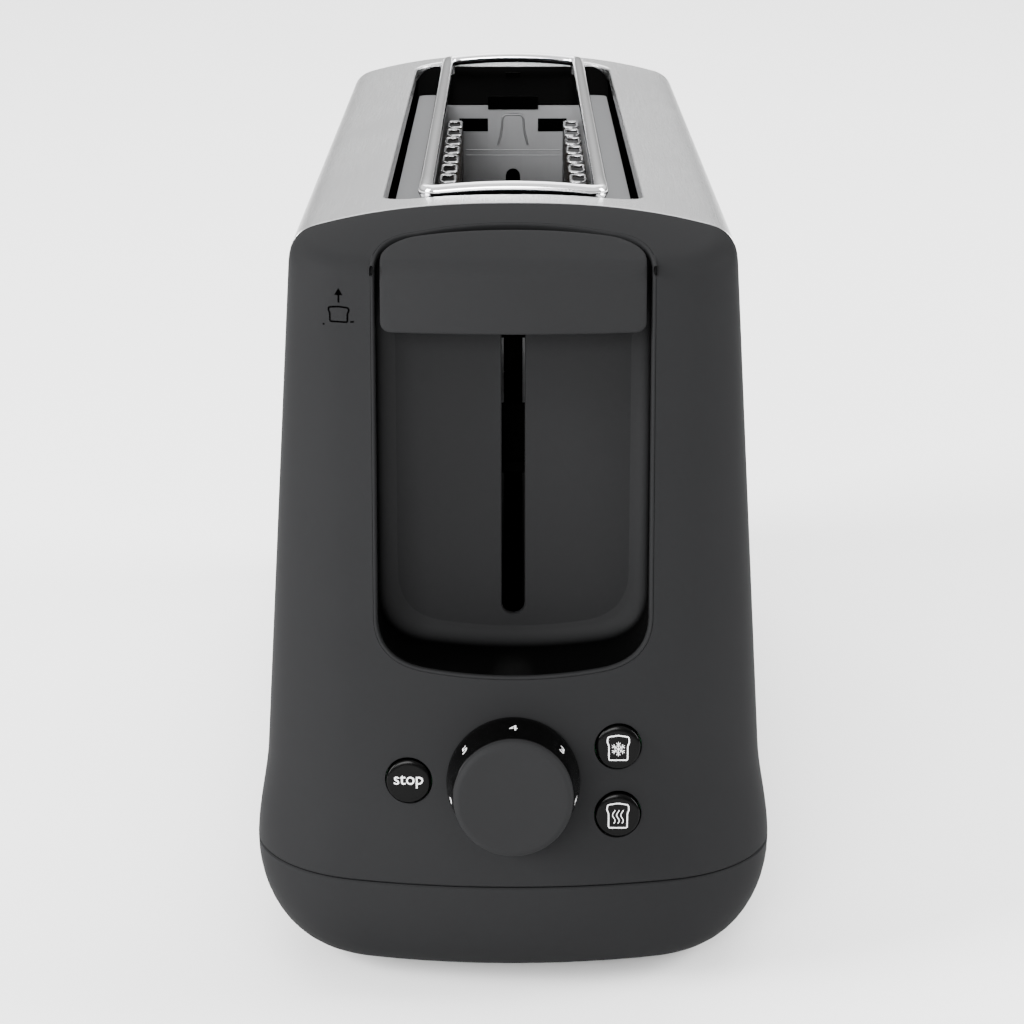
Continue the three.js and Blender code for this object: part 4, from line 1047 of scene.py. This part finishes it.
def rackLoop():  # one wire round all four sides, thinner and arched across the ends
    x, y, r = rack["spread"], rack["legY"], rack["corner"]
    quarter = [(x, lerp(0, y - r, i / 10), 1) for i in range(10)]
    for i in range(11):
        angle = math.radians(90 * i / 10)
        quarter.append((x - r + r * math.cos(angle), y - r + r * math.sin(angle), 1 - i / 10))
    quarter += [((x - r) * (1 - i / 10), y, 0) for i in range(1, 11)]
    path = []
    for sx, sy in ((1, 1), (-1, 1), (-1, -1), (1, -1)):
        part = quarter if sx * sy > 0 else quarter[::-1]
        path += [(sx * px, sy * py, w) for px, py, w in part[:-1]]
    rings = []
    count = len(path)
    for i, (px, py, wide) in enumerate(path):
        before, after = path[i - 1], path[(i + 1) % count]
        along = Vector((after[0] - before[0], after[1] - before[1], 0)).normalized()
        across = Vector((along.y, -along.x, 0))
        radius = lerp(rack["bar"], rack["rod"], wide)
        lift = rack["arch"] * (1 - (px / x) ** 2) if abs(abs(py) - y) < r else 0
        centre = Vector((px, py, rack["height"] + lift))
        rings.append([centre + across * u + Vector((0, 0, v)) for u, v in circle(radius, rack["sides"])])
    rings.append(rings[0])
    return loft(rings, closeEnds=False)


def warmingRack():
    shapes = [rackLoop()]
    for sx in (-1, 1):
        for sy in (-1, 1):
            top = Vector((sx * (rack["spread"] - 0.6), sy * (rack["legY"] - 0.6), rack["height"] - 0.5))
            foot = Vector((sx * rack["spread"], sy * rack["legY"], rack["height"] - rack["leg"]))
            shapes.append(tube([top, top.lerp(foot, 0.06), foot], rack["rod"] - 0.1, 20))
    return settle(newPiece("warming_rack_wires", *shapes), chromeWire, "warming_shelf",
                  ["warming_rack"], 60)


warmingRack()

endPlate = {"face": 121.5, "line": 0.42, "arch": (4.0, 182, 193), "creases": (180.1, 178.2), "creaseHalf": 17,
            "guideFace": 138.6, "relief": 0.9,
            "ribs": ((-2.6, 2.6, 194, 206), (-21, -11, 197, 204.5), (11, 21, 197, 204.5),
                     (-9, -5.5, 197, 204.5), (5.5, 9, 197, 204.5))}


def endPlatePressings():  # the pressed arch and creases at the far end of the chamber, and the guide's ribs
    half, low, high = endPlate["arch"]
    y = endPlate["face"] + 0.1
    radius = endPlate["line"]
    left = [(-half - 1.4, y, low), (-half, y, low + 5), (-half + 0.2, y, high)]
    right = [(-x, y, z) for x, y, z in reversed(left)]
    shapes = [tube(roundedPath(left + right, 2.2, 5), radius, 10)]
    for z in endPlate["creases"]:
        shapes.append(tube([Vector((-endPlate["creaseHalf"], y, z)), Vector((0, y, z)),
                            Vector((endPlate["creaseHalf"], y, z))], radius * 0.7, 10))
    settle(newPiece("end_plate_pressings", *shapes), platedSheetPaintedShade, "casing", crease=60)
    ribs = []
    back = endPlate["guideFace"]
    for x0, x1, z0, z1 in endPlate["ribs"]:
        ribs.append(block(x0, x1, back - endPlate["relief"], back + 0.2, z0, z1))
    settle(newPiece("slot_guide_ribs", *ribs), heatBlack, "casing")


endPlatePressings()


def growMesh(name, tree, values):
    holder = linked(bpy.data.objects.new(name, bpy.data.meshes.new(name)))
    modifier = holder.modifiers.new("grow", "NODES")
    modifier.node_group = tree
    for item in tree.interface.items_tree:
        if item.in_out == "INPUT":
            modifier[item.identifier] = values[item.name]
    holder.data = evaluatedMesh(holder)
    holder.modifiers.clear()
    return holder


def newTree(name, inputs):
    tree = bpy.data.node_groups.new(name, "GeometryNodeTree")
    tree.interface.new_socket("Geometry", in_out="OUTPUT", socket_type="NodeSocketGeometry")
    for key, kind in inputs.items():
        tree.interface.new_socket(key, in_out="INPUT", socket_type="NodeSocket" + kind)
    entry = tree.nodes.new("NodeGroupInput")
    given = {key: Wire(tree, entry.outputs[key]) for key in inputs}
    return tree, Wire(tree), given


def joined(start, parts):
    node = start.tree.nodes.new("GeometryNodeJoinGeometry")
    for part in parts:
        start.tree.links.new(part.socket, node.inputs[0])
    return Wire(start.tree, node.outputs[0])


def endTree(tree, geometry, look):
    solid = geometry.node("GeometryNodeRealizeInstances", {}, {0: geometry})
    dressed = solid.node("GeometryNodeSetMaterial", {}, {"Geometry": solid, "Material": look})
    exit = tree.nodes.new("NodeGroupOutput")
    tree.links.new(dressed.socket, exit.inputs[0])


def vectorOf(start, x=0.0, y=0.0, z=0.0):
    return start.node("ShaderNodeCombineXYZ", {}, {0: x, 1: y, 2: z})


def wireAlong(start, curve, radius, sides=10):
    profile = start.node("GeometryNodeCurvePrimitiveCircle", {"mode": "RADIUS"},
                         {"Resolution": sides, "Radius": radius})
    return start.node("GeometryNodeCurveToMesh", {},
                      {"Curve": curve, "Profile Curve": profile, "Fill Caps": True})


def lineFrom(start, first, last):
    return start.node("GeometryNodeCurvePrimitiveLine", {"mode": "POINTS"}, {"Start": first, "End": last})


def guardTree():
    tree, start, given = newTree("guard hoops", {
        "Hoops": "Int", "Pitch": "Float", "Half hoop": "Float", "Reach": "Float", "Wire radius": "Float",
        "Inner X": "Float", "Side": "Float", "Middle Y": "Float", "Top": "Float", "Bottom": "Float",
        "Half length": "Float", "Bend": "Float"})
    frameCurve = start.node("GeometryNodeCurvePrimitiveQuadrilateral", {"mode": "RECTANGLE"},
                            {"Width": given["Reach"], "Height": 2 * given["Half hoop"]})
    rounded = start.node("GeometryNodeFilletCurve", {"mode": "POLY"}, {
        "Curve": frameCurve, "Radius": given["Bend"], "Count": 6})
    hoop = wireAlong(start, rounded, given["Wire radius"])
    middleX = given["Inner X"] + given["Side"] * given["Reach"] / 2
    lifted = start.node("GeometryNodeTransform", {}, {
        "Geometry": hoop, "Translation": vectorOf(start, middleX, 0.0, given["Top"])})
    parts = [lifted]
    for sign in (-1, 1):
        legY = sign * (given["Half hoop"] - given["Bend"] * 0.6)
        leg = lineFrom(start, vectorOf(start, given["Inner X"], legY, given["Bottom"]),
                       vectorOf(start, given["Inner X"], legY, given["Top"]))
        parts.append(wireAlong(start, leg, given["Wire radius"]))
    one = joined(start, parts)
    first = given["Middle Y"] - (given["Hoops"] - 1) * given["Pitch"] / 2
    line = start.node("GeometryNodeMeshLine", {"mode": "OFFSET"}, {
        "Count": given["Hoops"], "Start Location": vectorOf(start, 0.0, first, 0.0),
        "Offset": vectorOf(start, 0.0, given["Pitch"], 0.0)})
    row = start.node("GeometryNodeInstanceOnPoints", {}, {"Points": line, "Instance": one})
    ties = [row]
    for height in (given["Bottom"], given["Top"] - 0.014):
        ends = [vectorOf(start, given["Inner X"], y, height) for y in (
            given["Middle Y"] - given["Half length"], given["Middle Y"] + given["Half length"])]
        ties.append(wireAlong(start, lineFrom(start, *ends), given["Wire radius"]))
    endTree(tree, joined(start, ties), guardWire)
    return tree


guard = {"Hoops": 12, "Pitch": 19.3, "Half hoop": 6.95, "Reach": 4.6, "Wire radius": 0.58, "Top": 191.4,
         "Bottom": 60.75, "Half length": 118.5, "Bend": 1.5}
guardInnerX = 18.35


def inMetres(sizes):  # whole numbers are counts
    return {key: value if isinstance(value, int) else value * millimetre for key, value in sizes.items()}


def guardCages():
    tree = guardTree()
    for label, side in (("left", -1), ("right", 1)):
        cage = growMesh(label + "_guard_wires", tree, {
            **inMetres(guard), "Inner X": side * guardInnerX * millimetre, "Side": float(side),
            "Middle Y": forward * millimetre})
        settle(cage, guardWire, label + "_guard_cage", [label + "_guard"], 60)


def windingTree():
    tree, start, given = newTree("heater winding", {
        "Turns": "Int", "Pitch": "Float", "Face X": "Float", "Depth": "Float", "Middle Y": "Float",
        "Half length": "Float", "Lowest": "Float", "Ribbon radius": "Float"})
    across = start.node("GeometryNodeCurvePrimitiveQuadrilateral", {"mode": "RECTANGLE"},
                        {"Width": given["Depth"], "Height": 2 * given["Half length"]})
    rounded = start.node("GeometryNodeFilletCurve", {"mode": "POLY"}, {
        "Curve": across, "Radius": given["Depth"] * 0.4, "Count": 3})
    turn = wireAlong(start, rounded, given["Ribbon radius"], 8)
    line = start.node("GeometryNodeMeshLine", {"mode": "OFFSET"}, {
        "Count": given["Turns"],
        "Start Location": vectorOf(start, given["Face X"], given["Middle Y"], given["Lowest"]),
        "Offset": vectorOf(start, 0.0, 0.0, given["Pitch"])})
    row = start.node("GeometryNodeInstanceOnPoints", {}, {"Points": line, "Instance": turn})
    endTree(tree, row, zincPlate)
    return tree


heater = {"Turns": 19, "Pitch": 6.2, "Depth": 1.5, "Half length": 112.9, "Lowest": 69.0,
          "Ribbon radius": 0.22}


def heaterWindings():
    tree = windingTree()
    for label in ("left", "right"):
        low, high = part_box(label + "_heater")
        winding = growMesh(label + "_heater_winding", tree, {
            **inMetres(heater), "Face X": (low.x + high.x) / 2, "Middle Y": forward * millimetre})
        settle(winding, zincPlate, "casing", crease=60)


guardCages()
heaterWindings()
print("stage: rack, guards and windings")


def baseBowl():
    splitZ = casing["split"] - 0.3
    soft, wall, inset = casing["softEdge"], casing["capWall"], casing["bowlInset"]
    steps = range(1, 2 * casing["arcSteps"] + casing["bowSteps"] + 2)

    def ring(z, inwards):
        front = [wallPoint(k, casing["split"], inwards, 0)[:2] for k in steps]
        return [(x, y, z) for x, y in front] + [(-x, -y, z) for x, y in front]

    def bowed(t, topZ, bottomZ, start):  # from the rim to the bottom along a quarter round
        angle = t * math.pi / 2
        return ring(lerp(topZ, bottomZ, math.sin(angle)), start + inset * (1 - math.cos(angle)))

    outer = [ring(splitZ, soft), ring(splitZ - soft, 0)]
    outer += [bowed(i / 14, splitZ - soft, casing["baseBottom"], 0) for i in range(1, 15)]
    inner = [ring(splitZ + 4, wall)]
    inner += [bowed(i / 8, splitZ, casing["baseBottom"] + wall, wall) for i in range(9)]
    return loft(outer), loft(inner)


base = {"mouthHalf": 40, "mouthLow": 5.4, "mouthHigh": 15.6, "vents": 9, "ventPitch": 9, "ventHalf": 1.6,
        "ventHalfLength": 14, "ventBack": 48, "screwX": 43, "screwY": 129.5, "screwHole": 4.2,
        "screwDeep": 7.6}


def baseHousing():
    outer, inner = baseBowl()
    bowl = newPiece("base_bowl", outer)
    back = -frontY
    tools = [newPiece("tool", inner)]
    tools.append(newPiece("tool", block(-base["mouthHalf"], base["mouthHalf"], back - 40, back + 5,
                                        base["mouthLow"], base["mouthHigh"])))
    for i in range(base["vents"]):
        x = (i - (base["vents"] - 1) / 2) * base["ventPitch"]
        vent = roundedRectangle(base["ventHalf"], base["ventHalfLength"], 1.5, 6)
        outline = [(x + px, frontY + base["ventBack"] + py) for px, py in vent]
        tools.append(newPiece("tool", prismZ(outline, 0, 9)))
    for sx in (-1, 1):
        for sy in (-1, 1):
            place = Matrix.Translation((sx * base["screwX"], sy * base["screwY"], 0))
            hole = cylinder(base["screwHole"], 0, base["screwDeep"], 32)
            tools.append(newPiece("tool", moved(hole, place)))
    return settle(carve(bowl, tools), charcoal, "casing", ["base_housing"])


baseHousing()
print("stage: base")

cordEnd = {"radius": 3.95, "inset": 3.5, "length": 5, "sides": 40}


def cordStub():  # the cord cut off short inside its gland
    low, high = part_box("cord_gland")
    back = high.y / millimetre - forward - cordEnd["inset"]
    middle = (low.z + high.z) / 2 / millimetre
    outline = [(x, middle + z) for x, z in circle(cordEnd["radius"], cordEnd["sides"])]
    return prismY(outline, back - cordEnd["length"], back)


settle(newPiece("cord_end", cordStub()), rubberBlack, "casing")
print("stage: cord end")

keptLooks = {
    "plated_sheet": platedSheetPaintedShade, "blackened_steel": blackSteel, "plated_parts": zincPlate,
    "chrome_wire": chromeWire, "heat_plastic": heatBlack, "rubber": rubberBlack, "mica": mica,
    "copper_coil": copper, "circuit_board": circuit, "white_plastic": warmWhite, "switch_black": switchBlack,
    "black_case": charcoal, "grey_panel": softGrey, "gloss_black": glossBlack, "brushed_sleeve": brushedSteel,
}
slotOf = {row["node"]: row["material_slot"] for row in frame["record"]["subparts"]}
for nodeName, node in frame["nodes"].items():
    if not node.hide_render:
        node.data.materials.clear()
        node.data.materials.append(keptLooks[slotOf[nodeName]])
print("stage: finishes on the kept solids")

studio = {"cameraX": -0.00034, "cameraAhead": 0.688, "cameraHeight": 0.338, "pitch": 16.25, "lens": 98.44,
          "horizon": 0.45, "sky": 1.7, "skyline": (0.02, 0.42), "floorHalf": 12}


def placeCamera():
    data = bpy.data.cameras.new("mainCamera")
    data.lens = studio["lens"]
    data.sensor_width = 36
    data.clip_start = 0.01
    camera = linked(bpy.data.objects.new("mainCamera", data))
    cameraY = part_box("front_cap")[0].y - studio["cameraAhead"]
    camera.location = (studio["cameraX"], cameraY, studio["cameraHeight"])
    camera.rotation_euler = (math.radians(90 - studio["pitch"]), 0, 0)
    bpy.context.scene.camera = camera


softboxes = [
    {"name": "overhead", "at": (0, 0.9, 2.6), "towards": (0, 0.5, 0), "size": (2.6, 2.2), "power": 50},
    {"name": "leftBox", "at": (-2.2, -0.9, 1.1), "towards": (0, 0, 0.1), "size": (1.0, 1.4), "power": 160},
    {"name": "rightBox", "at": (2.3, 0.1, 1.1), "towards": (0, 0, 0.1), "size": (1.0, 1.4), "power": 95},
    {"name": "frontBox", "at": (-0.7, -2.8, 1.0), "towards": (0, 0, 0.1), "size": (1.6, 0.9), "power": 125},
    {"name": "backWash", "at": (0, 3.0, 2.6), "towards": (0, 2.2, 0), "size": (4.0, 2.0), "power": 110},
]


def placeLights():
    for spec in softboxes:
        data = bpy.data.lights.new(spec["name"], "AREA")
        data.shape = "RECTANGLE"
        data.size, data.size_y = spec["size"]
        data.energy = spec["power"]
        light = linked(bpy.data.objects.new(spec["name"], data))
        light.location = spec["at"]
        aim = Vector(spec["towards"]) - Vector(spec["at"])
        light.rotation_euler = aim.to_track_quat("-Z", "Y").to_euler()
    world = bpy.data.worlds.new("studio")
    world.use_nodes = True
    start = Wire(world.node_tree)
    direction = start.node("ShaderNodeTexCoord", output="Generated")
    height = start.node("ShaderNodeSeparateXYZ", {}, {"Vector": direction}, "Z")
    sky = height.between(*studio["skyline"]).blend(grey(studio["horizon"]), grey(studio["sky"]))
    feed(world.node_tree.nodes["Background"], "Color", sky)
    bpy.context.scene.world = world


def placeFloor():
    look, shader, start = newLook("paleFloor", {"Roughness": 0.9, "Specular IOR Level": 0.1})
    where = start.node("ShaderNodeTexCoord", output="Object")
    feed(shader, "Base Color", noiseOn(start, where, 3, 2).blend(grey(0.9), grey(0.93)))
    mesh = bpy.data.meshes.new("studioFloor")
    half = studio["floorHalf"]
    corners = [(-half, -half, 0), (half, -half, 0), (half, half, 0), (-half, half, 0)]
    mesh.from_pydata(corners, [], [(0, 1, 2, 3)])
    mesh.materials.append(look)
    linked(bpy.data.objects.new("studioFloor", mesh))


placeCamera()
placeLights()
placeFloor()
print("stage: studio")
